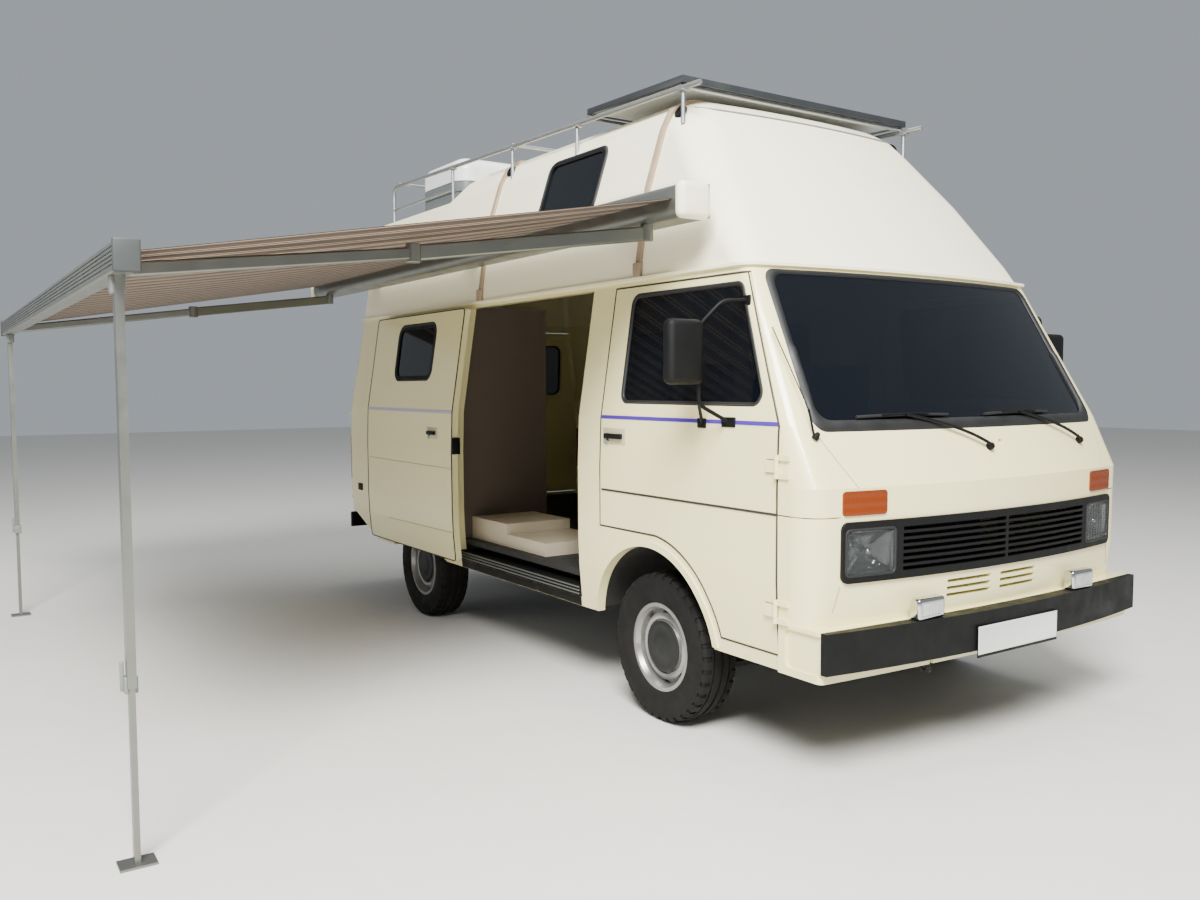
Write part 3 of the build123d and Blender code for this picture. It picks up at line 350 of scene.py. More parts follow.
@dataclass(frozen=True)
class BoardPair(Finish):
    """Two boards on one node: the wardrobe's brown behind, the steps' cream in front."""

    behind: str = "5B5046"
    split_y: float = 0.404

    def colour_socket(self, tree: Tree, place: Socket) -> Socket:
        """Choose the board by its place along the van.

        Args:
            tree: The material's tree.
            place: The Object coordinates.

        Returns:
            The colour output.
        """
        axes = add(tree, "ShaderNodeSeparateXYZ", None, Vector=place)
        back = add(tree, "ShaderNodeMath", {"operation": "GREATER_THAN"}, i0=axes.outputs["Y"], i1=self.split_y)
        front = self.two_tone(tree, place)
        return add(tree, "ShaderNodeMix", RGBA, i0=back.outputs[0], i6=front, i7=linear(self.behind)).outputs[2]


@dataclass(frozen=True)
class BandedShell(Finish):
    """The roof locker's sheet, white with a broad grey band round it."""

    band: str = "5F6466"
    band_low: float = 2.695
    band_high: float = 2.832

    def colour_socket(self, tree: Tree, place: Socket) -> Socket:
        """Choose the band or the white by height.

        Args:
            tree: The material's tree.
            place: The Object coordinates.

        Returns:
            The colour output.
        """
        axes = add(tree, "ShaderNodeSeparateXYZ", None, Vector=place)
        above = add(tree, "ShaderNodeMath", {"operation": "GREATER_THAN"}, i0=axes.outputs["Z"], i1=self.band_low)
        below = add(tree, "ShaderNodeMath", {"operation": "LESS_THAN"}, i0=axes.outputs["Z"], i1=self.band_high)
        inside = add(tree, "ShaderNodeMath", {"operation": "MULTIPLY"}, i0=above.outputs[0], i1=below.outputs[0])
        white = self.two_tone(tree, place)
        return add(tree, "ShaderNodeMix", RGBA, i0=inside.outputs[0], i6=white, i7=linear(self.band)).outputs[2]


@dataclass(frozen=True)
class StripedCloth(Finish):
    """Woven acrylic awning cloth, its stripes running from the cassette to the lead rail."""

    repeat_mm: float = 300.0
    thread_mm: float = 4.0
    fade_mm: float = 400.0
    stripes: tuple[tuple[float, str], ...] = (
        (0.0, "4E372B"), (0.34, "B8A285"), (0.44, "211B1A"), (0.58, "B8A285"), (0.68, "4E372B"), (0.86, "211B1A"),
    )

    def colour_socket(self, tree: Tree, place: Socket) -> Socket:
        """Give the stripes across the van's length, a little faded in places.

        Args:
            tree: The material's tree.
            place: The Object coordinates.

        Returns:
            The colour output.
        """
        axes = add(tree, "ShaderNodeSeparateXYZ", None, Vector=place)
        turns = add(tree, "ShaderNodeMath", {"operation": "MULTIPLY"}, i0=axes.outputs["Y"], i1=per_mm(self.repeat_mm))
        part = add(tree, "ShaderNodeMath", {"operation": "FRACT"}, i0=turns.outputs[0])
        ramp = add(tree, "ShaderNodeValToRGB", None, Fac=part.outputs[0])
        ramp.color_ramp.interpolation = "CONSTANT"
        elements = ramp.color_ramp.elements
        while len(elements) < len(self.stripes):
            elements.new(1.0)
        for element, (where, code) in zip(elements, self.stripes):
            element.position = where
            element.color = linear(code)
        cloud = add(tree, "ShaderNodeTexNoise", None, Vector=place, Scale=per_mm(self.fade_mm), Detail=6.0)
        fade = add(
            tree, "ShaderNodeMapRange", None,
            Value=cloud.outputs["Fac"], From_Min=0.3, From_Max=0.8, To_Min=0.0, To_Max=0.14,
        )
        worn = add(tree, "ShaderNodeMix", RGBA, i0=fade.outputs[0], i6=ramp.outputs[0], i7=linear(self.second))
        return worn.outputs[2]

    def bump_socket(self, tree: Tree, place: Socket) -> Socket:
        """Give the weave; its 1 mm threads are drawn 4 mm wide so that they show.

        Args:
            tree: The material's tree.
            place: The Object coordinates.

        Returns:
            The normal output.
        """
        threads = []
        for direction in "YX":
            kind = {"wave_type": "BANDS", "bands_direction": direction}
            wave = add(tree, "ShaderNodeTexWave", kind, Vector=place, Scale=per_mm(self.thread_mm) / BANDS_PER_UNIT)
            threads.append(wave.outputs["Fac"])
        both = add(tree, "ShaderNodeMath", {"operation": "ADD"}, i0=threads[0], i1=threads[1])
        return add(tree, "ShaderNodeBump", None, Strength=0.25, Distance=0.0006, Height=both.outputs[0]).outputs[0]


# Sprayed enamel: an even ivory under a soft gloss, with road dust towards the sills
PAINT = Finish(
    "acrylic_enamel_ivory", "F2E8AE", "EEE3A6", 0.26, coat=0.55, wear=0.04, wear_mm=700, mottle=0.2, mottle_mm=900,
    grain_mm=1.5, grain=0.02, grain_depth_mm=0.02, dirt="8B8069", dirt_amount=0.3, dirt_top=0.6,
)
# The same enamel in the handles' recesses, darker because little light gets in
PAINT_SHADE = Finish("acrylic_enamel_recess", "BDB592", "B2AA87", 0.35, coat=0.3, mottle_mm=120, grain=0.02)
# Moulded glass fibre: a whiter cream, a little wavy where the mould was
GELCOAT = Finish(
    "polyester_gelcoat_white", "FCF5D6", "F8F0CC", 0.34, coat=0.3, wear=0.06, wear_mm=600, mottle=0.3, mottle_mm=600,
    grain_mm=30, grain=0.03, grain_depth_mm=0.15,
)
# Float glass painted nearly black and mostly opaque: painted shade of the dim inside seen through it, with a clean
# mirrored sky
GLASS_INNER_SHADE_PAINTED = Glazing("float_glass_tinted", "060A10", "080D14", 0.04, mottle=0.3, grain=0.0, specular=0.4, alpha=0.84)
# Pressed fog lamp glass: bright and fluted, its bowl too close behind it to be seen apart
LENS_CLEAR = LampLens(
    "pressed_glass_lens", "C9CCC8", "9FA39F", 0.08, coat=0.6, mottle=0.6, mottle_mm=40, metallic=0.55,
)
# Pressed headlamp glass: dark and clear, so that the bowl shows between wide flutes
LENS_COVER = ClearLens("pressed_glass_cover", "2C3132", "363B3C", 0.05, coat=0.6, flute_mm=14.0, mottle_mm=40)
# Moulded acrylic: deep orange, ribbed finely
LENS_AMBER = LampLens("acrylic_lens_amber", "742E04", "662602", 0.3, specular=0.3, flute_mm=6.0)
# Moulded acrylic: deep red, ribbed finely and glossier
LENS_RED = LampLens("acrylic_lens_red", "8E120C", "741010", 0.2, coat=0.5, flute_mm=6.0)
# Vacuum-coated bowl: a soft silver mirror
REFLECTOR = Finish(
    "aluminised_reflector", "7E8182", "6E7172", 0.16, metallic=1.0, mottle_mm=40, grain_mm=3.0, grain=0.02,
)
# Plated steel: a sharp mirror on small round parts
CHROME = Finish("chromed_steel", "C9CACB", "B5B7B8", 0.12, metallic=1.0, mottle_mm=40, grain_mm=3.0, grain=0.02)
# Silvered glass: the clearest mirror on the van
MIRROR = Finish("silvered_mirror_glass", "C6CBCD", "BCC2C4", 0.03, metallic=1.0, mottle_mm=60, grain=0.0)
# Moulded polypropylene: dull black with a fine leathery grain
PLASTIC = Finish(
    "polypropylene_black_moulded", "0A0B0B", "101111", 0.58, specular=0.2, mottle_mm=60,
    grain_mm=1.2, grain=0.12, grain_depth_mm=0.06,
)
# Moulded polyamide: smooth and dark, or a middle grey
PLASTIC_DARK = Finish(
    "polyamide_dark_moulded", "3E4140", "363938", 0.5, specular=0.3, mottle_mm=60, grain_mm=1.5, grain=0.06,
)
PLASTIC_GREY = Finish("polyamide_grey_moulded", "787B79", "6D706E", 0.48, mottle_mm=60, grain_mm=1.5, grain=0.06)
# Moulded wheel caps: dark grey, a little smoother than the tyre round them
CAP = Finish("abs_grey_moulded", "1A1B1A", "161716", 0.5, specular=0.3, mottle_mm=60, grain_mm=1.5, grain=0.06)
# Extruded rubber: black without a highlight, softer still in the doors' gaps
RUBBER = Finish("epdm_rubber_seal", "141414", "1E1E1D", 0.62, mottle_mm=90, grain=0.08)
# The gaskets' dark colour also paints the shade inside the nose's pressed groove
GASKET_AND_GROOVE_SHADE = Finish("door_gasket_rubber", "2B2A24", "36342C", 0.7, mottle_mm=80, grain=0.1)
# A pressed crease catches less light than the panel: a thin darker line of the paint
CREASE = Finish("pressed_crease_shade", "A8A07E", "9C9473", 0.5, mottle_mm=120, grain=0.03)
# Enamelled steel of the bumpers: flat black, dusty low down
ENAMEL = Finish(
    "enamelled_steel_black", "080908", "0E0F0C", 0.6, specular=0.18, mottle_mm=140,
    grain_mm=3.0, grain=0.05, dirt="4A453B", dirt_amount=0.25, dirt_top=0.6,
)
# Brushed-on bitumen: rough and brownish black
UNDERSEAL = Finish(
    "bitumen_underseal", "1C1B19", "2A2722", 0.85, mottle_mm=70, grain_mm=6.0, grain=0.25, grain_depth_mm=0.5,
)
# Vulcanised rubber: matt black with dust in it
TYRE = Finish(
    "tyre_rubber", "100F0F", "181716", 0.8, specular=0.2, mottle_mm=60,
    grain_mm=1.5, grain=0.15, dirt="4A443B", dirt_amount=0.1, dirt_top=0.8,
)
# Lacquered steel rims: a fine silver with brake dust
RIM = Finish(
    "silver_lacquered_steel", "A9A9A6", "8F8F8B", 0.32, metallic=0.75, coat=0.3, mottle_mm=50,
    grain_mm=1.5, grain=0.03, dirt="5A5148", dirt_amount=0.5, dirt_top=0.9,
)
# Anodised extrusions: a grey satin darkened below its own colour as painted shade; the solar panel's frame is darker
ALUMINIUM_SHADE_DARKENED = Finish("anodised_aluminium", "82847E", "75776F", 0.38, metallic=0.85, mottle_mm=200, grain=0.03)
SOLAR_FRAME = Finish("anodised_frame_dark", "55585A", "4A4D4F", 0.38, metallic=0.8, mottle_mm=120, grain=0.03)
# Galvanised tube: a light grey with faint blotches of zinc
TUBE = Finish(
    "galvanised_steel_tube", "A7A9A8", "8B8E8E", 0.38, metallic=0.8, mottle_mm=30, grain_mm=4.0, grain=0.05,
)
# Lacquered tube of the hoops: a plain tan
TAN = Finish("lacquered_tube_tan", "A38D74", "8F7A63", 0.42, mottle_mm=60, grain=0.04)
# Cells under glass: deep blue, blotched by their crystals, with a clean reflection
SOLAR = Finish("solar_cell_glass", "0D1526", "101B30", 0.1, coat=0.6, mottle_mm=125, mottle=0.7, grain=0.0)
# The panel's laminated back: an even white
BACKSHEET = Finish("polyester_backsheet_white", "E6EAEE", "DCE1E6", 0.5, mottle_mm=125, grain_mm=3.0, grain=0.02)
# Thermoformed sheet: a cool white shell with a grey band
LOCKER = BandedShell("abs_sheet_white", "E4E7E5", "D6D9D7", 0.35, coat=0.2, mottle_mm=300, grain_mm=3.0, grain=0.04)
# Cast iron: grainy, with oil that turns it brown
CAST = Finish(
    "cast_iron_oiled", "3A3835", "4A443C", 0.6, metallic=0.6, mottle_mm=50,
    grain_mm=3.0, grain=0.25, grain_depth_mm=0.3,
)
# Forged axle steel: dull and dark, faintly rusty
STEEL = Finish(
    "axle_steel_dull", "33322F", "433D34", 0.55, metallic=0.6, mottle_mm=50,
    grain_mm=3.0, grain=0.15, grain_depth_mm=0.2,
)
# Melamine boards: even colours with a quiet sheen
BOARD = BoardPair("melamine_boards", "C9BCA2", "BFB197", 0.45, mottle_mm=120, grain_mm=3.0, grain=0.04)
# Needle felt: black fuzz that takes all light
FLOOR = Finish("needle_felt_black", "23221F", "2E2C28", 0.9, mottle_mm=30, grain_mm=3.0, grain=0.4, grain_depth_mm=0.4)
# Woven upholstery: warm brown threads with a soft sheen at the edges, corded darker
SEAT_CLOTH = Finish(
    "upholstery_weave_brown", "5A4A3C", "4B3D31", 0.85, sheen=0.3, mottle_mm=20,
    grain_mm=2.5, grain=0.5, grain_depth_mm=0.4,
)
PIPING = Finish("woven_piping_dark", "2E2620", "3A3028", 0.8, sheen=0.2, mottle_mm=20, grain_mm=1.5, grain=0.3)
# Woven acrylic: matt stripes of brown, sand and black
AWNING = StripedCloth("acrylic_awning_weave", "6B4F40", "6E5A4B", 0.85, sheen=0.1, specular=0.2, repeat_mm=190.0)
# Cut vinyl tape: a flat purple on the cab doors, a faded lavender behind them
STRIPE = Finish("vinyl_tape_purple", "47279A", "3E208C", 0.4, mottle_mm=80, grain=0.02)
STRIPE_PALE = Finish("vinyl_tape_lavender", "B9B4C9", "ADA8BF", 0.4, mottle_mm=80, grain=0.02)
# Pressed and coated aluminium plate: a bright flat white
PLATE = Finish("pressed_plate_white", "D8D8D2", "CFCFC8", 0.35, coat=0.3, mottle_mm=80, grain=0.03)
# Painted screed: a pale ground that shows the shadows
STUDIO_FLOOR = Finish("pale_studio_floor", "D9D6CF", "D3D0C8", 0.7, mottle_mm=900, grain_mm=8.0, grain=0.05)

SLOT_FINISH: dict[str, Finish] = {
    "body_paint": PAINT, "roof_gel": GELCOAT, "clear_glass": GLASS_INNER_SHADE_PAINTED, "black_plastic": PLASTIC,
    "black_enamel": ENAMEL, "underbody": UNDERSEAL, "tyre": TYRE, "rim_silver": RIM, "lamp_clear": LENS_CLEAR,
    "lamp_amber": LENS_AMBER, "lamp_red": LENS_RED, "bare_aluminium": ALUMINIUM_SHADE_DARKENED, "awning_cloth": AWNING,
    "seat_cloth": SEAT_CLOTH, "cast_iron": CAST, "axle_steel": STEEL, "rack_tube": TUBE, "bar_tan": TAN,
    "solar_glass": SOLAR, "locker_shell": LOCKER, "board": BOARD, "floor_black": FLOOR,
}


# ---------------------------------------------------------------- modelling by hand


def clear_selection() -> None:
    """Deselect every object."""
    if bpy.context.object is not None and bpy.context.object.mode != "OBJECT":
        bpy.ops.object.mode_set(mode="OBJECT")
    bpy.ops.object.select_all(action="DESELECT")


def take(obj: Obj) -> Obj:
    """Select one object alone and make it the active one.

    Args:
        obj: The object.

    Returns:
        The same object.
    """
    clear_selection()
    obj.select_set(True)
    bpy.context.view_layer.objects.active = obj
    return obj


def place_mesh(name: str, mesh: bpy.types.ID) -> Obj:
    """Put a mesh or a curve into the scene as an object, and take it.

    Args:
        name: The object's name.
        mesh: Its mesh or curve.

    Returns:
        The object.
    """
    obj = bpy.data.objects.new(name, mesh)
    bpy.context.scene.collection.objects.link(obj)
    return take(obj)


def moved_copy(model: Obj, seat: Matrix) -> Obj:
    """Copy a model with its own mesh, and put that mesh in its place.

    Args:
        model: The object that is copied.
        seat: Where the copy's mesh goes.

    Returns:
        The copy.
    """
    copy = place_mesh(model.name, model.data.copy())
    copy.data.transform(seat)
    return copy


@contextmanager
def editing(obj: Obj) -> Iterator[None]:
    """Open one object's mesh in edit mode with all of it selected, and close it after the block.

    Args:
        obj: The object whose mesh the block changes.

    Yields:
        Nothing.
    """
    take(obj)
    bpy.ops.object.mode_set(mode="EDIT")
    bpy.ops.mesh.select_all(action="SELECT")
    yield
    bpy.ops.object.mode_set(mode="OBJECT")


def pick_faces(obj: Obj, wanted: Callable[[bmesh.types.BMFace], bool]) -> None:
    """Select only the faces of the mesh in edit mode that pass the test.

    Args:
        obj: The object in edit mode.
        wanted: Says whether a face is selected.
    """
    bpy.ops.mesh.select_mode(type="FACE")
    mesh = bmesh.from_edit_mesh(obj.data)
    for face in mesh.faces:
        face.select_set(wanted(face))
    bmesh.update_edit_mesh(obj.data)


def inset(*steps: Span) -> None:
    """Inset the selected faces step by step.

    Args:
        *steps: Each step's width and its depth outwards, in metres.
    """
    for thickness, depth in steps:
        bpy.ops.mesh.inset(thickness=thickness, depth=depth)


def apply_modifier(obj: Obj, kind: str, **settings: Any) -> None:
    """Add a modifier, set it and apply it.

    Args:
        obj: The object that is finished.
        kind: The modifier's type.
        **settings: Its settings.
    """
    take(obj)
    modifier = obj.modifiers.new(kind.lower(), kind)
    for key, value in settings.items():
        setattr(modifier, key, value)
    bpy.ops.object.modifier_apply(modifier=modifier.name)


def settle(
    obj: Obj, name: str, finish: Finish, body: str = "van", smooth: float = EDGED,
) -> Obj:
    """Name a piece, put its place in its mesh, give it its finish and let it ride.

    Args:
        obj: The modelled piece.
        name: Its name.
        finish: Its finish.
        body: The body that it rides on.
        smooth: The angle up to which its shading is smooth, in degrees.

    Returns:
        The finished piece.
    """
    take(obj)
    if obj.type != "MESH":
        bpy.ops.object.convert(target="MESH")
        obj = bpy.context.object
    bpy.ops.object.transform_apply(location=True, rotation=True, scale=True)
    obj.name = name
    obj.data.name = name
    obj.data.materials.clear()
    obj.data.materials.append(finish.build())
    bpy.ops.object.shade_smooth_by_angle(angle=math.radians(smooth))
    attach(obj, body)
    LOG.info("piece %s: %d faces on %s", name, len(obj.data.polygons), body)
    return obj


def bevel(obj: Obj, width: float, segments: int) -> None:
    """Round an object's edges.

    Args:
        obj: The object.
        width: The edges' radius, in metres.
        segments: Steps in each rounded edge.
    """
    apply_modifier(obj, "BEVEL", width=width, segments=segments, limit_method="ANGLE")


def block(low: Vector, high: Vector, edge: float = 0.0, segments: int = 3) -> Obj:
    """Start a piece as a cube between two corners, with rounded edges.

    Args:
        low: Its lowest corner, in metres.
        high: Its highest corner.
        edge: The radius of its edges, in metres.
        segments: Steps in each rounded edge.

    Returns:
        The object.
    """
    clear_selection()
    bpy.ops.mesh.primitive_cube_add(size=1.0, location=(low + high) / 2)
    obj = bpy.context.object
    obj.scale = high - low
    bpy.ops.object.transform_apply(location=True, rotation=False, scale=True)
    if edge > 0:
        bevel(obj, edge, segments)
    return obj


def tube(points: Sequence[Vector], radius: float, closed: bool = False, smooth: bool = False, sides: int = 4) -> Obj:
    """Start a piece as a round tube along points.

    Args:
        points: The points of its middle line.
        radius: Its radius, in metres.
        closed: Whether it runs back to its start.
        smooth: Whether the line is a smooth spline or straight runs.
        sides: Half the steps round the tube.

    Returns:
        The object, as a mesh.
    """
    clear_selection()
    curve = bpy.data.curves.new("run", "CURVE")
    curve.dimensions = "3D"
    curve.bevel_depth = radius
    curve.bevel_resolution = sides
    curve.use_fill_caps = not closed
    spline = curve.splines.new("NURBS" if smooth else "POLY")
    spline.points.add(len(points) - 1)
    for point, place in zip(spline.points, points):
        point.co = (*place, 1.0)
    spline.use_cyclic_u = closed
    if smooth:
        spline.order_u = 4
        spline.use_endpoint_u = not closed
        spline.resolution_u = 6
    place_mesh("run", curve)
    bpy.ops.object.convert(target="MESH")
    return bpy.context.object


def sideways(steepness: float) -> Facing:
    """Give a test for faces that look out of the van's own side.

    Args:
        steepness: The least share of the normal that points outwards.

    Returns:
        The test of a face's middle and normal.
    """

    def outer(centre: Vector, normal: Vector) -> bool:
        """Say whether a face looks out of its side."""
        return normal.x * (1 if centre.x > ZERO.x else -1) > steepness

    return outer


def rearwards(centre: Vector, normal: Vector) -> bool:
    """Say whether a face looks to the tail."""
    return normal.y > 0.6


def skin_copy(node: str, facing: Facing, cuts: Iterable[tuple[Vector, Vector]] = ()) -> Obj:
    """Copy the part of a node's outer skin that lies between cut planes.

    Args:
        node: The CAD node.
        facing: Says from a face's middle and normal whether it stays.
        cuts: Pairs of a point and a normal; what lies ahead of the normal goes.

    Returns:
        The object, an open shell on the node's skin.
    """
    obj = place_mesh("skin", frame["nodes"][node].data.copy())
    with editing(obj):
        bpy.ops.mesh.remove_doubles(threshold=0.00002)
        for point, normal in cuts:
            bpy.ops.mesh.select_all(action="SELECT")
            bpy.ops.mesh.bisect(plane_co=point, plane_no=normal, use_fill=False, clear_inner=False, clear_outer=True)
        pick_faces(obj, lambda face: not facing(face.calc_center_median(), face.normal))
        bpy.ops.mesh.delete(type="FACE")
        bpy.ops.mesh.select_all(action="SELECT")
        bpy.ops.mesh.delete_loose()
    return obj


def rim_line(obj: Obj, radius: float) -> Obj:
    """Turn the open edge of a shell into a round bead along it.

    Args:
        obj: The open shell.
        radius: The bead's radius, in metres.

    Returns:
        The bead, as a mesh.
    """
    with editing(obj):
        bpy.ops.mesh.region_to_loop()
        bpy.ops.mesh.select_all(action="INVERT")
        bpy.ops.mesh.delete(type="EDGE_FACE")
        bpy.ops.mesh.select_all(action="SELECT")
        bpy.ops.mesh.delete_loose(use_verts=True, use_edges=False, use_faces=False)
    bpy.ops.object.convert(target="CURVE")
    curve = bpy.context.object
    curve.data.bevel_depth = radius
    curve.data.bevel_resolution = 3
    bpy.ops.object.convert(target="MESH")
    return bpy.context.object


def thicken(obj: Obj, thickness: float) -> Obj:
    """Give a shell its thickness outwards, standing clear of the skin under it."""
    apply_modifier(obj, "SOLIDIFY", thickness=thickness, offset=1.0)
    return obj


def mesh_skin(mesh: bpy.types.Mesh) -> BVHTree:
    """Give the tree in which a mesh's surface is looked up."""
    points = [vertex.co for vertex in mesh.vertices]
    return BVHTree.FromPolygons(points, [tuple(face.vertices) for face in mesh.polygons])


SKINS: dict[str, BVHTree] = {}


def touch(nodes: Sequence[str], start: Vector, way: Vector) -> Vector:
    """Find where a straight line first meets one of the CAD nodes.

    Args:
        nodes: The nodes that it may meet.
        start: Where it starts, in the frame.
        way: Its direction.

    Returns:
        The nearest meeting point, or half a metre along the line where it meets nothing.
    """
    found = []
    for name in nodes:
        if name not in SKINS:
            SKINS[name] = mesh_skin(frame["nodes"][name].data)
        place = SKINS[name].ray_cast(start, way)[0]
        if place is not None:
            found.append(place)
    if not found:
        LOG.warning("no skin of %s at %s", nodes, tuple(round(v, 3) for v in start - ZERO))
        return start + way * 0.5
    return min(found, key=lambda place: (place - start).length)


def side_point(nodes: Sequence[str], side: Side, y: float, z: float) -> Vector:
    """Find the outer skin of a side's nodes at a place along the van and a height."""
    return touch(nodes, at(side.value * OUTSIDE, y, z), Vector((-side.value, 0, 0)))


def nose_point(nodes: Sequence[str], x: float, z: float) -> Vector:
    """Find the front skin of nodes at a place across the van and a height."""
    return touch(nodes, at(x, -OUTSIDE, z), Vector((0, 1, 0)))


def edge_loop(obj: Obj) -> list[Vector]:
    """Give the points of a shell's open edge in order.

    Args:
        obj: The shell, with one open edge.

    Returns:
        The points, each once.
    """
    mesh = bmesh.new()
    mesh.from_mesh(obj.data)
    edge = next(edge for edge in mesh.edges if edge.is_boundary)
    first = edge.verts[0]
    vertex = edge.other_vert(first)
    points = [first.co.copy()]
    while vertex is not first:
        points.append(vertex.co.copy())
        edge = next(other for other in vertex.link_edges if other.is_boundary and other is not edge)
        vertex = edge.other_vert(vertex)
    mesh.free()
    return points


def divide(points: Sequence[Vector], step: float) -> list[Vector]:
    """Add points to a closed line until no run is longer than the step.

    Args:
        points: The line's points.
        step: The longest run, in metres.

    Returns:
        The points with those between them.
    """
    result = []
    for start, end in zip(points, list(points[1:]) + [points[0]]):
        count = max(1, math.ceil((end - start).length / step))
        result += [start.lerp(end, number / count) for number in range(count)]
    return result


def bend(points: Sequence[Vector], radius: float, steps: int = 6) -> list[Vector]:
    """Round the inner corners of a tube's line, as a bending machine does.

    Args:
        points: The line's corners.
        radius: How far from a corner its bend starts, in metres.
        steps: Runs in each bend.

    Returns:
        The bent line.
    """
    result = [points[0]]
    for before, corner, after in zip(points, points[1:], points[2:]):
        start = corner + (before - corner).normalized() * radius
        end = corner + (after - corner).normalized() * radius
        for number in range(steps + 1):
            share = number / steps
            result.append(start * (1 - share) ** 2 + corner * 2 * share * (1 - share) + end * share ** 2)
    result.append(points[-1])
    return result


def band(rows: Sequence[Sequence[Vector]], facing: Vector) -> Obj:
    """Join closed rows of points into a band of faces.

    Args:
        rows: The rows, each with as many points.
        facing: Which way its faces point.

    Returns:
        The object.
    """
    count = len(rows[0])
    points = [point for row in rows for point in row]
    faces = []
    for row in range(len(rows) - 1):
        for number in range(count):
            here, following = row * count + number, row * count + (number + 1) % count
            faces.append((here, following, following + count, here + count))
    mesh = bpy.data.meshes.new("band")
    mesh.from_pydata(points, [], faces)
    obj = place_mesh("band", mesh)
    if sum(face.area * face.normal.dot(facing) for face in mesh.polygons) < 0:
        with editing(obj):
            bpy.ops.mesh.flip_normals()
    return obj


def ring(shell: Obj, width: float, lift: float) -> Obj:
    """Keep only a flat frame along the edges of a pane's skin.

    Args:
        shell: The pane's open skin.
        width: The frame's width, in metres.
        lift: How far it stands out.

    Returns:
        The frame.
    """
    with editing(shell):
        inset((width, 0.0))
        bpy.ops.mesh.delete(type="FACE")
    bevel(thicken(shell, lift), lift * 0.35, 2)
    return shell


def reshape(obj: Obj, change: Callable[[Vector], Vector]) -> None:
    """Move the selected vertices of the mesh in edit mode.

    Args:
        obj: The object in edit mode.
        change: Gives a vertex's new place from its old one.
    """
    mesh = bmesh.from_edit_mesh(obj.data)
    for vertex in mesh.verts:
        if vertex.select:
            vertex.co = change(vertex.co)
    bmesh.update_edit_mesh(obj.data)


def lathe(outline: Sequence[Span], sectors: int, seat: Matrix = Matrix.Identity(4)) -> Obj:
    """Spin an outline round the x axis and put the result in its place.

    Args:
        outline: Its points, each a place on the axis and a radius, in metres.
        sectors: Steps round.
        seat: Where the turned mesh goes.

    Returns:
        The turned object.
    """
    clear_selection()
    bpy.ops.mesh.primitive_circle_add(vertices=len(outline), radius=0.1, fill_type="NOTHING")
    obj = bpy.context.object
    for vertex, (x, radius) in zip(obj.data.vertices, outline):
        vertex.co = Vector((x, 0, radius))
    with editing(obj):
        bpy.ops.mesh.spin(steps=sectors, angle=2 * math.pi, center=(0, 0, 0), axis=(1, 0, 0))
        bpy.ops.mesh.select_all(action="SELECT")
        bpy.ops.mesh.remove_doubles(threshold=0.00005)
        bpy.ops.mesh.dissolve_degenerate(threshold=0.00001)
        bpy.ops.mesh.delete_loose()
        bpy.ops.mesh.select_all(action="SELECT")
        bpy.ops.mesh.normals_make_consistent(inside=False)
    obj.data.transform(seat)
    return obj


def turned(place: Vector, *turns: tuple[float, str]) -> Matrix:
    """Give the seat of a turned piece.

    Args:
        place: Where its origin goes, in the frame.
        *turns: Degrees and axis of each turn, the last one made first.

    Returns:
        The matrix.
    """
    seat = Matrix.Translation(place)
    for angle, axis in turns:
        seat = seat @ Matrix.Rotation(math.radians(angle), 4, axis)
    return seat


# ---------------------------------------------------------------- sub-assemblies


@dataclass
class Glazings:
    """The rubber seals round every pane, and the flat frames of the living space's windows.

    The windscreen's rubber reaches half a width at a height, given below and above.
    """

    bead: float = 0.011
    frame_width: float = 0.026
    frame_lift: float = 0.007
    screen_foot: Span = (905.0, 1302.0)
    screen_head: Span = (857.0, 1943.0)
    screen_step: float = 0.025
    head_zone: float = 0.08
    lap: float = 0.02
    lap_rise: float = 0.01
    crown: tuple[float, float, float] = (0.0, -0.014, 0.008)

    def build(self) -> None:
        """Lay a seal along the edge of each pane's outer face."""
        for side in Side:
            self.seal(f"door_glass_{side.word}", f"door_{side.word}", sideways(0.6))
            self.seal(f"rear_glass_{side.word}", f"tail_door_{side.word}", rearwards)
        self.seal("side_windows", "van", sideways(0.6))
        flange = skin_copy("side_windows", sideways(0.6))
        settle(ring(flange, self.frame_width, self.frame_lift), "window_frames", PLASTIC)
        self.screen()

    def seal(self, node: str, body: str, facing: Facing) -> None:
        """Seal one node's panes.

        Args:
            node: The glass node.
            body: The body that it rides on.
            facing: Which faces are the pane's outer one.
        """
        settle(rim_line(skin_copy(node, facing), self.bead), f"seal_{node}", RUBBER, body=body, smooth=ROUND)

    def screen(self) -> None:
        """Model the windscreen's broad rubber from the glass out over the panel."""
        shell = skin_copy("windscreen", lambda centre, normal: normal.y < -0.35)
        loop = divide(edge_loop(shell), self.screen_step)
        bpy.data.objects.remove(shell)
        low = min(point.z for point in loop)
        high = max(point.z for point in loop)
        foot, head = self.screen_foot, self.screen_head
        wide = max(abs(point.x - ZERO.x) for point in loop)
        narrow = max(abs(point.x - ZERO.x) for point in loop if point.z > high - self.head_zone)
        rows: list[list[Vector]] = [[], [], [], []]
        for point in loop:
            share = (point.z - low) / (high - low)
            stretch = (foot[0] + (head[0] - foot[0]) * share) / 1000 / (wide + (narrow - wide) * share)
            x = (point.x - ZERO.x) * stretch * 1000
            z = foot[1] + (head[1] - foot[1]) * share
            outer = nose_point(["front_panel", "windscreen"], x, z)
            rise = self.lap_rise if share < 0.5 else -self.lap_rise
            inner = point + Vector((-(point.x - ZERO.x) * self.lap, -0.002, rise))
            rows[0].append(inner + Vector((0, 0.006, 0)))
            rows[1].append(inner + Vector((0, -0.006, 0.002)))
            rows[2].append((outer + inner) / 2 + Vector(self.crown))
            rows[3].append(outer + Vector((0, 0.002, 0)))
        piece = band(rows, Vector((0, -1, 0.4)))
        apply_modifier(piece, "SUBSURF", levels=1, render_levels=1)
        settle(piece, "seal_windscreen", RUBBER, smooth=SOFT)


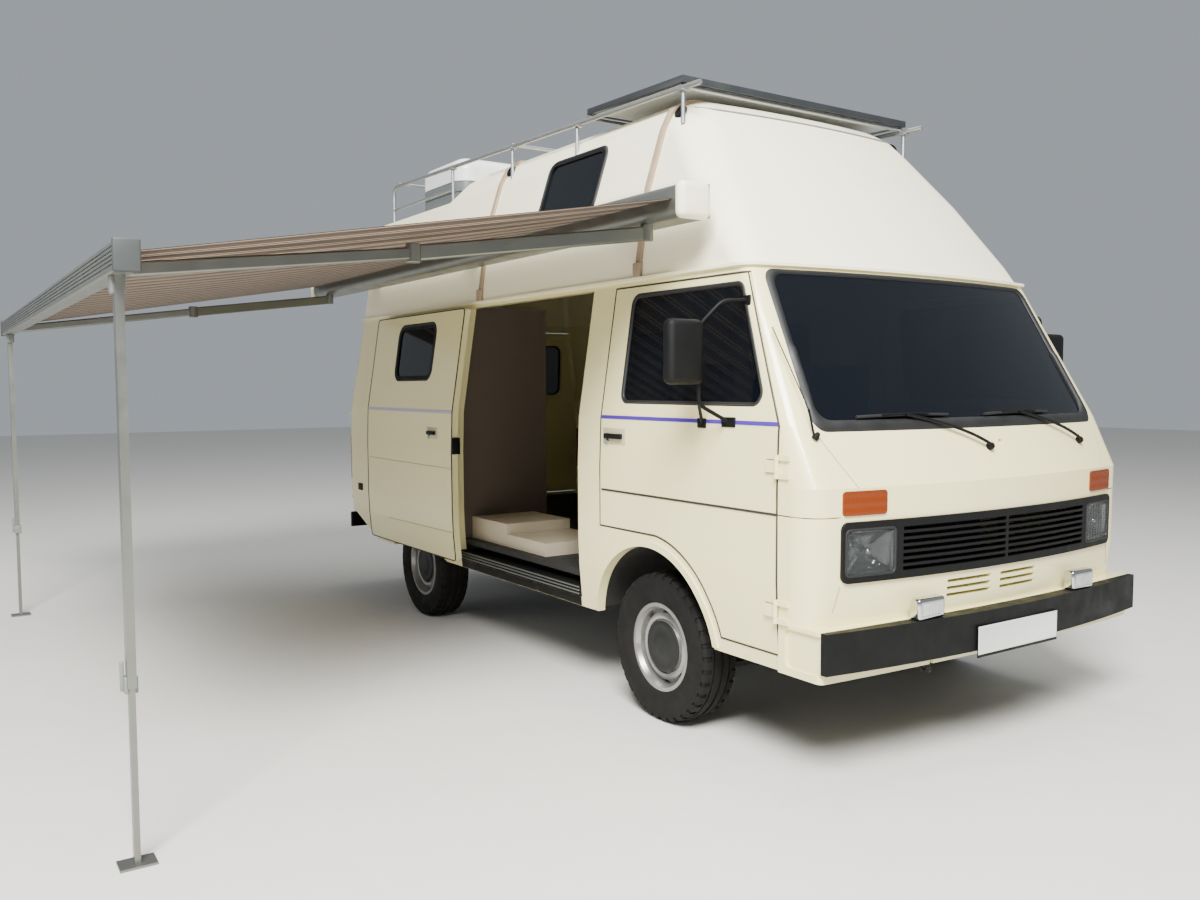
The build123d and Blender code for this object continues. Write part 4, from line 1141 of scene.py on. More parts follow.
@dataclass
class Livery:
    """The belt tape along the van's sides."""

    lift: float = 0.0014
    door_tape: Span = (1328.0, 1344.0)
    body_tape: Span = (1318.0, 1338.0)

    def build(self) -> None:
        """Cut each tape from the skin that it lies on."""
        for side in Side:
            self.tape(f"front_door_{side.word}", f"door_{side.word}", self.door_tape, STRIPE, f"tape_door_{side.word}")
        self.tape("sliding_door", "van", self.body_tape, STRIPE_PALE, "tape_sliding_door")
        self.tape("side_left", "van", self.body_tape, STRIPE_PALE, "tape_side_left")

    def tape(self, node: str, body: str, tall: Span, finish: Finish, name: str) -> None:
        """Lay one tape over the whole length of a panel.

        Args:
            node: The panel that carries it.
            body: The body that it rides on.
            tall: Its lower and upper edge, in millimetres.
            finish: Its finish.
            name: The piece's name.
        """
        cuts = [(at(0, 0, tall[0]), Vector((0, 0, -1))), (at(0, 0, tall[1]), Vector((0, 0, 1)))]
        shell = skin_copy(node, sideways(0.8), cuts)
        settle(thicken(shell, self.lift), name, finish, body)


@dataclass
class PanelGaps:
    """The dark rubber in the doors' gaps, and the dark lines that paint the shade of the panels' pressed creases and
    grooves.

    Creases on the nose have points of x and z, for the left side, and those on a side have y and z.
    """

    gap: float = 0.0035
    crease: float = 0.0022
    hinge_reach: float = 1.0115
    screen_crease: tuple[Span, ...] = ((900, 1296), (850, 1198), (796, 1104))
    corner_crease: tuple[Span, ...] = ((872, 745), (884, 700), (898, 648))
    arch_crease: tuple[Span, ...] = ((386, 829), (230, 820), (60, 808))
    sliding_low: tuple[Span, ...] = ((1830, 628), (2200, 624), (2790, 616))
    sliding_mid: tuple[Span, ...] = ((1830, 1000), (2400, 1000), (3100, 1000))
    left_mid: tuple[Span, ...] = ((420, 1000), (1400, 1000), (2500, 1000), (3500, 1000))
    groove_side: tuple[float, ...] = (-788, -830, -870, -900)
    groove_front: tuple[float, ...] = (975, 950, 920, 880)
    groove_z: Span = (1000, 998)
    brow_end: tuple[float, float, float] = (-652, 150, 3000)
    brow_start: tuple[float, float] = (-1200, 2730)
    brow_half: float = 610
    brow_runs: int = 24
    brow_radius: float = 0.006

    def build(self) -> None:
        """Lay the gaskets round the doors, then the creases."""
        for side in Side:
            self.gasket(f"front_door_{side.word}", f"door_{side.word}", sideways(0.45))
            self.gasket(f"rear_door_{side.word}", f"tail_door_{side.word}", rearwards)
        self.gasket("sliding_door", "van", sideways(0.45))
        for side in Side:
            self.fold(f"crease_screen_{side.word}", side, self.screen_crease)
            self.fold(f"crease_corner_{side.word}", side, self.corner_crease)
            nodes = [f"side_{side.word}", f"front_door_{side.word}"]
            self.side_fold(f"crease_arch_{side.word}", nodes, side, self.arch_crease)
        self.side_fold("crease_sliding_low", ["sliding_door"], Side.RIGHT, self.sliding_low)
        self.side_fold("crease_sliding_mid", ["sliding_door"], Side.RIGHT, self.sliding_mid)
        self.side_fold("crease_left_mid", ["side_left"], Side.LEFT, self.left_mid)
        for side in Side:
            self.corner_groove(side)
        self.front_trim()

    def line(self, name: str, places: Sequence[Vector], finish: Finish) -> None:
        """Draw one dark line that paints the shade of a crease or groove through points, smooth where it bends."""
        run = tube(places, self.crease, smooth=len(places) > 2)
        settle(run, name, finish, smooth=ROUND)

    def corner_groove(self, side: Side) -> None:
        """Carry the dark line that paints the shade of the doors' groove round the nose's corner to the lamps' frame.

        Args:
            side: The van's side.
        """
        along, across = self.groove_z
        places = [side_point(["front_panel"], side, y, along) for y in self.groove_side]
        places += [nose_point(["front_panel"], side.value * x, across) for x in self.groove_front]
        # Painted shade: the groove's shadow drawn as a dark line in the gaskets' colour
        self.line(f"nose_groove_{side.word}", places, GASKET_AND_GROOVE_SHADE)

    def gasket(self, node: str, body: str, facing: Facing) -> None:
        """Lay a door's gasket along the edge of its outer skin.

        Args:
            node: The door.
            body: The body that it rides on.
            facing: Which faces are its outer skin.
        """

        def outer(centre: Vector, normal: Vector) -> bool:
            """Say whether a face is on the door's outer skin and not on a hinge."""
            on_hinge = node.startswith("front_door") and abs(centre.x - ZERO.x) >= self.hinge_reach
            return facing(centre, normal) and not on_hinge

        settle(rim_line(skin_copy(node, outer), self.gap), f"gasket_{node}", GASKET_AND_GROOVE_SHADE, body=body, smooth=ROUND)

    def fold(self, name: str, side: Side, points: Sequence[Span]) -> None:
        """Draw a pressed crease on the nose through points given by x and z."""
        self.line(name, [nose_point(["front_panel"], side.value * x, z) for x, z in points], CREASE)

    def side_fold(self, name: str, nodes: Sequence[str], side: Side, points: Sequence[Span]) -> None:
        """Draw a pressed crease on a side through points given by y and z."""
        self.line(name, [side_point(nodes, side, y, z) for y, z in points], CREASE)

    def front_trim(self) -> None:
        """Lay the grey trim over the high roof's brow."""
        places = [touch(["roof_shell"], at(*self.brow_end), Vector((0, 0, -1)))]
        for step in range(self.brow_runs + 1):
            x = -self.brow_half + 2 * self.brow_half * step / self.brow_runs
            places.append(touch(["roof_shell"], at(x, *self.brow_start), Vector((0, 1, 0))))
        settle(tube(places, self.brow_radius, smooth=True), "roof_brow_trim", PLASTIC_GREY, smooth=ROUND)


@dataclass
class Lamps:
    """Headlamps and fog lamps: chromed bowls behind fluted glass.

    A bowl narrows in steps, each with its depth in metres and its share of the step before.
    """

    lens_skin: float = 0.0025
    bowl_rim: float = 0.009
    bowl_sheet: float = 0.001
    bowl_steps: tuple[Span, ...] = ((0.010, 0.97), (0.014, 0.9), (0.012, 0.74), (0.006, 0.5))
    bulb: tuple[Span, ...] = (
        (0.0, 0.0), (0.0, 0.010), (-0.012, 0.013), (-0.024, 0.011), (-0.030, 0.006), (-0.031, 0.0),
    )
    bulb_depth: float = 0.036
    fog_x: float = 500.0
    fog_half: float = 76.0
    fog_low: float = 600.0
    fog_high: float = 682.0
    fog_front: float = -1086.0
    fog_back: float = -1036.0
    fog_margin: float = 9.0

    def build(self) -> None:
        """Build both sides' lamps in place of the plain ones."""
        for side in Side:
            self.head(side)
            self.fog(side)

    def face(self, side: Side) -> Obj:
        """Copy a headlamp's outer face.

        Args:
            side: The van's side.

        Returns:
            The open face.
        """

        def outer(centre: Vector, normal: Vector) -> bool:
            """Say whether a face is the front of this side's headlamp."""
            return normal.y < -0.5 and centre.z > 0.75 and (centre.x - ZERO.x) * side.value > 0

        return skin_copy("front_lamps", outer)

    def head(self, side: Side) -> None:
        """Build one headlamp.

        Args:
            side: The van's side.
        """
        bowl = self.face(side)
        points = [vertex.co for vertex in bowl.data.vertices]
        middle = sum(points, Vector()) / len(points)
        middle.x = (min(p.x for p in points) + max(p.x for p in points)) / 2
        middle.z = (min(p.z for p in points) + max(p.z for p in points)) / 2

        with editing(bowl):
            inset((self.bowl_rim, 0.0))
            for depth, size in self.bowl_steps:
                bpy.ops.mesh.extrude_region_move(TRANSFORM_OT_translate={"value": (0, depth, 0)})
                reshape(bowl, lambda co: Vector((
                    middle.x + (co.x - middle.x) * size, co.y, middle.z + (co.z - middle.z) * size,
                )))
        apply_modifier(bowl, "SOLIDIFY", thickness=self.bowl_sheet, offset=-1.0)
        piece = settle(bowl, f"headlamp_bowl_{side.word}", REFLECTOR, smooth=40.0)
        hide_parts("front_lamps")
        bulb = lathe(self.bulb, 24, turned(middle + Vector((0, self.bulb_depth, 0)), (90, "Z")))
        settle(bulb, f"headlamp_bulb_{side.word}", CHROME, smooth=ROUND)
        lens = thicken(self.face(side), self.lens_skin)
        settle(lens, f"headlamp_glass_{side.word}", LENS_COVER)
        settle(rim_line(self.face(side), 0.006), f"headlamp_rim_{side.word}", RUBBER, smooth=ROUND)

    def fog(self, side: Side) -> None:
        """Build one fog lamp on its foot over the bumper.

        Args:
            side: The van's side.
        """
        middle = side.value * self.fog_x
        edge = self.fog_margin
        low = at(middle - self.fog_half, self.fog_front, self.fog_low)
        high = at(middle + self.fog_half, self.fog_back, self.fog_high)
        case = block(low, high, 0.012, 4)
        with editing(case):
            pick_faces(case, lambda face: face.normal.y < -0.95 and face.calc_area() > 0.004)
            inset((0.005, 0.0), (0.003, -0.005))
            pick_faces(case, lambda face: face.normal.y > 0.95 and face.calc_area() > 0.004)
            inset((0.012, 0.0))
            bpy.ops.mesh.extrude_region_shrink_fatten(TRANSFORM_OT_shrink_fatten={"value": 0.008})
        settle(case, f"fog_lamp_case_{side.word}", CHROME)
        lens_high = at(middle + self.fog_half - edge, self.fog_front + 5, self.fog_high - edge)
        lens = block(low + Vector((edge, 1.0, edge)) / 1000, lens_high, 0.002, 3)
        settle(lens, f"fog_lamp_glass_{side.word}", LENS_CLEAR)


@dataclass(frozen=True)
class Pull:
    """One pull handle's places: its plate's and its bar's ends along the van and heights."""

    plate_y: Span
    plate_z: Span
    bar_y: Span
    bar_z: Span


@dataclass
class Handles:
    """The doors' pull handles, locks and the sliding door's catch."""

    cab: Pull = Pull((195.0, 372.0), (1212.0, 1286.0), (212.0, 348.0), (1238.0, 1262.0))
    sliding: Pull = Pull((2010.0, 2150.0), (1165.0, 1232.0), (2026.0, 2134.0), (1188.0, 1210.0))
    lock: tuple[Span, ...] = (
        (0.0, 0.0), (0.0, 0.013), (0.007, 0.013), (0.009, 0.011), (0.009, 0.006), (0.006, 0.005), (0.006, 0.0),
    )
    catch_y: Span = (1799.0, 1814.0)
    catch_z: Span = (1085.0, 1180.0)
    catch_out: Span = (-2.0, 48.0)

    def build(self) -> None:
        """Fit every door's handle."""
        for side in Side:
            self.pull(f"door_{side.word}", f"front_door_{side.word}", side, self.cab)
        self.pull("van", "sliding_door", Side.RIGHT, self.sliding)
        self.catch()
        self.tail()

    def pull(self, body: str, node: str, side: Side, size: Pull) -> None:
        """Fit a plate, its pull bar and its lock on a side.

        Args:
            body: The body that it rides on.
            node: The door.
            side: The van's side.
            size: The handle's places.
        """
        skin = side_point([node], side, sum(size.plate_y) / 2, sum(size.plate_z) / 2)
        x = van_mm(skin).x
        out = side.value
        bar = size.bar_y
        deep = (x - out * 2, x + out * 2.5)
        self.pad(f"handle_plate_{node}", PAINT_SHADE, body, deep, size.plate_y, size.plate_z, 0.001)
        self.pad(f"handle_bar_{node}", PLASTIC, body, (x + out * 9, x + out * 19), bar, size.bar_z, 0.0045)
        for name, ends in (("stem", (bar[1] - 26, bar[1] - 6)), ("root", (bar[0] + 6, bar[0] + 26))):
            self.pad(f"handle_{name}_{node}", PLASTIC, body, (x, x + out * 12), ends, size.bar_z, 0.002)
        place = at(x, bar[1] - 14, (size.plate_z[0] + size.bar_z[0]) / 2 - 1)
        lock = lathe(self.lock, 24, turned(place, (0 if out > 0 else 180, "Z")))
        settle(lock, f"handle_lock_{node}", CHROME, body=body)

    def pad(self, name: str, finish: Finish, body: str, deep: Span, wide: Span, tall: Span, edge: float) -> None:
        """Model one flat piece between two x places, which may come in either order."""
        low, high = at(min(deep), wide[0], tall[0]), at(max(deep), wide[1], tall[1])
        settle(block(low, high, edge), name, finish, body=body)

    def catch(self) -> None:
        """Fit the catch on the sliding door's front edge."""
        x = van_mm(side_point(["sliding_door"], Side.RIGHT, 1850, 1135)).x
        deep = (x + self.catch_out[0], x + self.catch_out[1])
        self.pad("sliding_door_catch", PLASTIC, "van", deep, self.catch_y, self.catch_z, 0.003)

    def tail(self) -> None:
        """Fit the rear doors' handle."""
        y = van_mm(touch(["rear_door_right"], at(-70, 4300, 1150), Vector((0, -1, 0)))).y
        for name, low, high, edge in (
            ("plate", at(-120, y - 1, 1120), at(-40, y + 4, 1180), 0.0015),
            ("bar", at(-150, y + 12, 1140), at(-46, y + 22, 1160), 0.004),
            ("stem", at(-66, y + 2, 1142), at(-48, y + 14, 1158), 0.002),
        ):
            settle(block(low, high, edge), f"tail_handle_{name}", PLASTIC, body="tail_door_right")


@dataclass
class Mirrors:
    """Tall door mirrors in moulded cases on bent tubes, with their glass."""

    x: float = 1198.0
    half: float = 85.0
    y: float = -460.0
    half_depth: float = 31.0
    low: float = 1484.0
    high: float = 1734.0
    glass_margin: float = 32.0
    tube_radius: float = 0.008
    foot_z: float = 1405.0
    root_high: Span = (-520.0, 1812.0)
    root_low: Span = (-500.0, 1336.0)
    root_strut: Span = (-338.0, 1328.0)
    knee: tuple[float, float, float] = (1040.0, -500.0, 1806.0)

    def build(self) -> None:
        """Build both mirrors in place of the plain ones."""
        for side in Side:
            self.case(side)
            self.arm(side)

    def case(self, side: Side) -> None:
        """Build one mirror's case and glass.

        Args:
            side: The van's side.
        """
        body = f"door_{side.word}"
        near, far = sorted((side.value * (self.x - self.half), side.value * (self.x + self.half)))
        back, front, edge = self.y + self.half_depth, self.y - self.half_depth, self.glass_margin
        case = block(at(near, front, self.low), at(far, back, self.high), 0.026, 5)
        with editing(case):
            pick_faces(case, lambda face: face.normal.y > 0.95 and face.calc_area() > 0.01)
            inset((0.004, 0.0), (0.002, -0.006))
        piece = settle(case, f"mirror_case_{side.word}", PLASTIC, body=body)
        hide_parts(f"mirror_{side.word}")
        glass = block(at(near + edge, back - 5, self.low + edge), at(far - edge, back - 3, self.high - edge), 0.001)
        settle(glass, f"mirror_glass_{side.word}", MIRROR, body)

    def arm(self, side: Side) -> None:
        """Build one mirror's bent arm, its strut and their feet on the door.

        Args:
            side: The van's side.
        """
        sign, body, door = side.value, f"door_{side.word}", [f"front_door_{side.word}"]
        arm_x = sign * (self.x - self.half + 8)
        top, foot = at(arm_x, self.y, self.high - 22), at(arm_x, self.y, self.foot_z)
        high, low, strut = (side_point(door, side, *root) for root in (self.root_high, self.root_low, self.root_strut))
        knee = at(sign * self.knee[0], *self.knee[1:])
        arm = tube(bend([high, knee, top, foot, low], 0.03), self.tube_radius)
        settle(arm, f"mirror_arm_{side.word}", ENAMEL, body, ROUND)
        thin = tube([foot, strut], self.tube_radius * 0.85)
        settle(thin, f"mirror_strut_{side.word}", ENAMEL, body, ROUND)
        for name, root, wide in (("low", low, 40), ("strut", strut, 26), ("high", high, 22)):
            x, y, z = van_mm(root)
            inner, outer = sorted((x - sign * 3, x + sign * 7))
            plate = block(at(inner, y - wide, z - 20), at(outer, y + wide, z + 20), 0.004)
            settle(plate, f"mirror_foot_{name}_{side.word}", ENAMEL, body)


@dataclass
class Wipers:
    """Two cranked wiper arms with their blades along the foot of the screen.

    The blade's points have an offset from its middle and a rise.
    """

    pivots: tuple[float, ...] = (-40.0, 665.0)
    reach: float = 420.0
    pivot_z: float = 1228.0
    knee_z: float = 1312.0
    blade_z: float = 1352.0
    cap: tuple[Span, ...] = ((0.0, 0.0), (0.0, 0.016), (0.014, 0.016), (0.022, 0.012), (0.026, 0.0))
    blade: tuple[Span, ...] = ((-240, 2), (-120, 6), (0, 8), (120, 7), (240, 4))

    def build(self) -> None:
        """Build both arms in place of the plain ones."""
        for number, x in enumerate(self.pivots):
            self.wiper(number, x)

    def spot(self, x: float, z: float, lift: float) -> Vector:
        """Give the place a lift before the nose at x and z."""
        return nose_point(["front_panel", "windscreen"], x, z) + Vector((0, -lift, lift * 0.4))

    def wiper(self, number: int, x: float) -> None:
        """Build one arm, its spindle cap and its blade.

        Args:
            number: Which one.
            x: Its spindle's place across the van.
        """
        tip_x = x - self.reach
        cap = lathe(self.cap, 20, turned(self.spot(x, self.pivot_z, 0.0), (-90, "Z"), (-22, "Y")))
        settle(cap, f"wiper_cap_{number}", PLASTIC)
        root, heel = self.spot(x, self.pivot_z, 0.018), self.spot(x - 60, self.pivot_z + 32, 0.024)
        knee, tip = self.spot(x - self.reach * 0.42, self.knee_z, 0.026), self.spot(tip_x, self.blade_z + 4, 0.022)
        arm = tube([root, heel, knee, tip], 0.0065, smooth=True)
        piece = settle(arm, f"wiper_arm_{number}", PLASTIC, smooth=ROUND)
        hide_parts("wipers")
        line = [self.spot(tip_x + offset, self.blade_z + lift, 0.012) for offset, lift in self.blade]
        settle(tube(line, 0.0062, smooth=True), f"wiper_blade_{number}", RUBBER, smooth=ROUND)
        bow = [point + Vector((0, -0.010, 0.004)) for point in line[1:4]]
        settle(tube(bow, 0.004, smooth=True), f"wiper_bow_{number}", PLASTIC, smooth=ROUND)


@dataclass
class RoofLoad:
    """The roof rack's bent tubes, the solar panel on them and the hoops over the roof.

    The side rails run from one place and height to another, and the bars, posts, hoops and panel have places in y.
    """

    rail_x: float = 740.0
    rail_front: Span = (0.0, 2805.0)
    rail_rear: Span = (3430.0, 2895.0)
    rail_radius: float = 0.012
    rail_bend: float = 0.07
    bar_radius: float = 0.010
    bar_rise: float = 12.0
    foot: float = 2650.0
    low_rail: float = 2732.0
    low_rail_radius: float = 0.008
    posts: tuple[float, ...] = (120.0, 1000.0, 1690.0, 2470.0)
    bars: tuple[float, ...] = (140.0, 900.0, 1700.0, 3340.0)
    hoops: tuple[float, ...] = (230.0, 1780.0)
    hoop_half: float = 18.0
    hoop_foot: float = 1968.0
    hoop_sheet: float = 0.013
    disc: tuple[Span, ...] = (
        (-0.002, 0.0), (-0.002, 0.034), (0.010, 0.034), (0.015, 0.030), (0.016, 0.018), (0.013, 0.012), (0.013, 0.0),
    )
    disc_ahead: float = 54.0
    disc_z: float = 2715.0
    disc_normal: Span = (0.885, 0.466)
    panel: Span = (112.0, 892.0)
    panel_half: float = 748.0
    panel_rise: float = 22.5
    panel_frame: float = 32.0

    def height(self, y: float) -> float:
        """Give the side rails' height at y.

        Args:
            y: The place along the van.

        Returns:
            The height of their middle line.
        """
        share = (y - self.rail_front[0]) / (self.rail_rear[0] - self.rail_front[0])
        return self.rail_front[1] + share * (self.rail_rear[1] - self.rail_front[1])

    def rod(self, name: str, points: Sequence[Vector], radius: float) -> Obj:
        """Build one of the rack's tubes."""
        return settle(tube(points, radius, sides=5), name, TUBE, smooth=ROUND)

    def build(self) -> None:
        """Build the rack, the panel and the hoops in place of the plain ones."""
        for side in Side:
            self.rail(side)
        for number, y in enumerate(self.bars):
            z = self.height(y) + self.bar_rise
            self.rod(f"rack_bar_{number}", [at(-self.rail_x, y, z), at(self.rail_x, y, z)], self.bar_radius)
        self.solar()
        for number, y in enumerate(self.hoops):
            self.hoop(number, y)
            for side in Side:
                self.hoop_ends(number, y, side)

    def rail(self, side: Side) -> None:
        """Bend one side rail, its posts and its low rail.

        Args:
            side: The van's side.
        """
        x, rear = side.value * self.rail_x, self.rail_rear
        path = bend([at(x, *self.rail_front), at(x, *rear), at(x, rear[0], self.foot)], self.rail_bend)
        piece = self.rod(f"rack_rail_{side.word}", path, self.rail_radius)
        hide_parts("roof_rack")
        for number, y in enumerate(self.posts):
            top = self.height(y)
            self.rod(f"rack_post_{side.word}_{number}", [at(x, y, self.foot), at(x, y, top)], self.bar_radius)
            clamp = block(at(x - 22, y - 24, top - 16), at(x + 22, y + 24, top - 10), 0.002)
            settle(clamp, f"rack_clamp_{side.word}_{number}", TUBE)
        low = [at(x, self.posts[-1], self.low_rail), at(x, rear[0], self.low_rail)]
        self.rod(f"rack_low_rail_{side.word}", low, self.low_rail_radius)

    def slab(self, low: float, high: float) -> Obj:
        """Model a sheet inside the panel's frame.

        Args:
            low: The height of its lower face.
            high: The height of its upper face.

        Returns:
            The sheet, level.
        """
        (near, far), edge = self.panel, self.panel_frame
        reach = self.panel_half - edge
        return block(at(-reach, near + edge, low), at(reach, far - edge, high), 0.0008, 1)

    def solar(self) -> None:
        """Build the solar panel's frame and its cells' glass, tilted with the rails."""
        near, far = self.panel
        base = self.height(near) + self.panel_rise
        tilt = (self.rail_rear[1] - self.rail_front[1]) / (self.rail_rear[0] - self.rail_front[0])
        edge = block(at(-self.panel_half, near, base), at(self.panel_half, far, base + self.panel_frame))
        with editing(edge):
            pick_faces(edge, lambda face: abs(face.normal.z) > 0.9)
            inset((0.03, -0.004))
        bevel(edge, 0.0015, 2)
        cells, sheet = self.slab(base + 27, base + 29.5), self.slab(base + 2, base + 4.5)
        for obj in (edge, cells, sheet):
            for vertex in obj.data.vertices:
                vertex.co.z += (vertex.co.y - at(0, near, 0).y) * tilt
        piece = settle(edge, "solar_frame", SOLAR_FRAME)
        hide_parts("solar_panel")
        settle(cells, "solar_cells", SOLAR)
        settle(sheet, "solar_backsheet", BACKSHEET)

    def hoop(self, number: int, y: float) -> None:
        """Lay one flat hoop over the roof's skin.

        Args:
            number: Which one.
            y: Its place along the van.
        """
        cuts = [
            (at(0, y - self.hoop_half, 0), Vector((0, -1, 0))),
            (at(0, y + self.hoop_half, 0), Vector((0, 1, 0))),
            (at(0, y, self.hoop_foot), Vector((0, 0, -1))),
        ]

        def outer(centre: Vector, normal: Vector) -> bool:
            """Say whether a face looks out of the roof shell."""
            return normal.dot(centre - at(0, y, 2300)) > 0 and abs(normal.y) < 0.7

        shell = thicken(skin_copy("roof_shell", outer, cuts), self.hoop_sheet)
        bevel(shell, 0.0035, 2)
        piece = settle(shell, f"roof_hoop_{number}", TAN)
        if number == 0:
            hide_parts("support_bars")

    def hoop_ends(self, number: int, y: float, side: Side) -> None:
        """Fit one end's foot and the disc beside the hoop.

        Args:
            number: Which hoop.
            y: Its place along the van.
            side: The van's side.
        """
        sign = side.value
        normal = Vector((sign * self.disc_normal[0], 0, self.disc_normal[1]))
        spot = side_point(["roof_shell"], side, y - self.disc_ahead, self.disc_z)
        disc = lathe(self.disc, 32, Matrix.Translation(spot) @ normal.to_track_quat("X", "Z").to_matrix().to_4x4())
        settle(disc, f"hoop_disc_{number}_{side.word}", PLASTIC)
        x = van_mm(side_point(["roof_shell"], side, y, 2000)).x
        inner, outer = sorted((x + sign * 2, x + sign * 24))
        foot = block(at(inner, y - 24, self.hoop_foot - 2), at(outer, y + 24, self.hoop_foot + 64), 0.004)
        settle(foot, f"hoop_foot_{number}_{side.word}", TAN)


@dataclass
class Trim:
    """The doorway's step, the aerial and other small parts of the body."""

    step_x: Span = (-998.0, -858.0)
    step_y: Span = (588.0, 1899.0)
    step_z: Span = (455.6, 512.0)
    ribs: int = 3
    rib_pitch: float = 16.0
    sill_y: Span = (592.0, 1896.0)
    sill_z: Span = (412.0, 453.0)
    vent_y: Span = (3440.0, 3520.0)
    vent_z: Span = (735.0, 785.0)
    aerial_root: Span = (-915.0, 1284.0)
    aerial_knee: tuple[float, float, float] = (-934.0, -862.0, 1392.0)
    aerial_tip: tuple[float, float, float] = (-930.0, -664.0, 1700.0)
    aerial_foot: tuple[Span, ...] = ((0.0, 0.0), (0.0, 0.014), (0.010, 0.013), (0.026, 0.008), (0.030, 0.0))

    def build(self) -> None:
        """Build the small parts."""
        self.step()
        self.sill()
        self.aerial()
        x = van_mm(side_point(["side_right"], Side.RIGHT, sum(self.vent_y) / 2, sum(self.vent_z) / 2)).x
        (near, far), (low, high) = self.vent_y, self.vent_z
        settle(block(at(x - 5, near, low), at(x + 1, far, high), 0.0028), "side_vent", PLASTIC)

    def step(self) -> None:
        """Build the ribbed step tray in the sliding doorway."""
        (outer, inner), (near, far), (low, high) = self.step_x, self.step_y, self.step_z
        tray = block(at(outer, near, low), at(inner, far, high), 0.004)
        with editing(tray):
            pick_faces(tray, lambda face: face.normal.z > 0.95 and face.calc_area() > 0.02)
            inset((0.014, 0.0), (0.003, -0.004))
        settle(tray, "entry_step", ENAMEL)
        for number in range(self.ribs):
            z = low + 12 + self.rib_pitch * number
            rib = block(at(outer - 5, near + 8, z), at(outer + 2, far - 8, z + 7), 0.002)
            settle(rib, f"entry_step_rib_{number}", ALUMINIUM_SHADE_DARKENED)

    def sill(self) -> None:
        """Cover the sill strip under the doorway."""
        (near, far), (low, high) = self.sill_y, self.sill_z
        cuts = [
            (at(0, 0, low), Vector((0, 0, -1))), (at(0, 0, high), Vector((0, 0, 1))),
            (at(0, near, 0), Vector((0, -1, 0))), (at(0, far, 0), Vector((0, 1, 0))),
        ]
        shell = skin_copy("side_right", lambda centre, normal: normal.x < -0.8, cuts)
        settle(thicken(shell, 0.002), "sill_cover", ENAMEL)

    def aerial(self) -> None:
        """Build the whip aerial beside the screen."""
        root = nose_point(["front_panel"], *self.aerial_root)
        foot = lathe(self.aerial_foot, 20, turned(root, (-60, "Z"), (-55, "Y")))
        settle(foot, "aerial_foot", PLASTIC)
        knee, tip = at(*self.aerial_knee), at(*self.aerial_tip)
        spring = tube([root + Vector((-0.004, -0.004, 0.004)), knee], 0.0042)
        settle(spring, "aerial_spring", PLASTIC, smooth=ROUND)
        settle(tube([knee, tip], 0.0024), "aerial_mast", PLASTIC, smooth=ROUND)


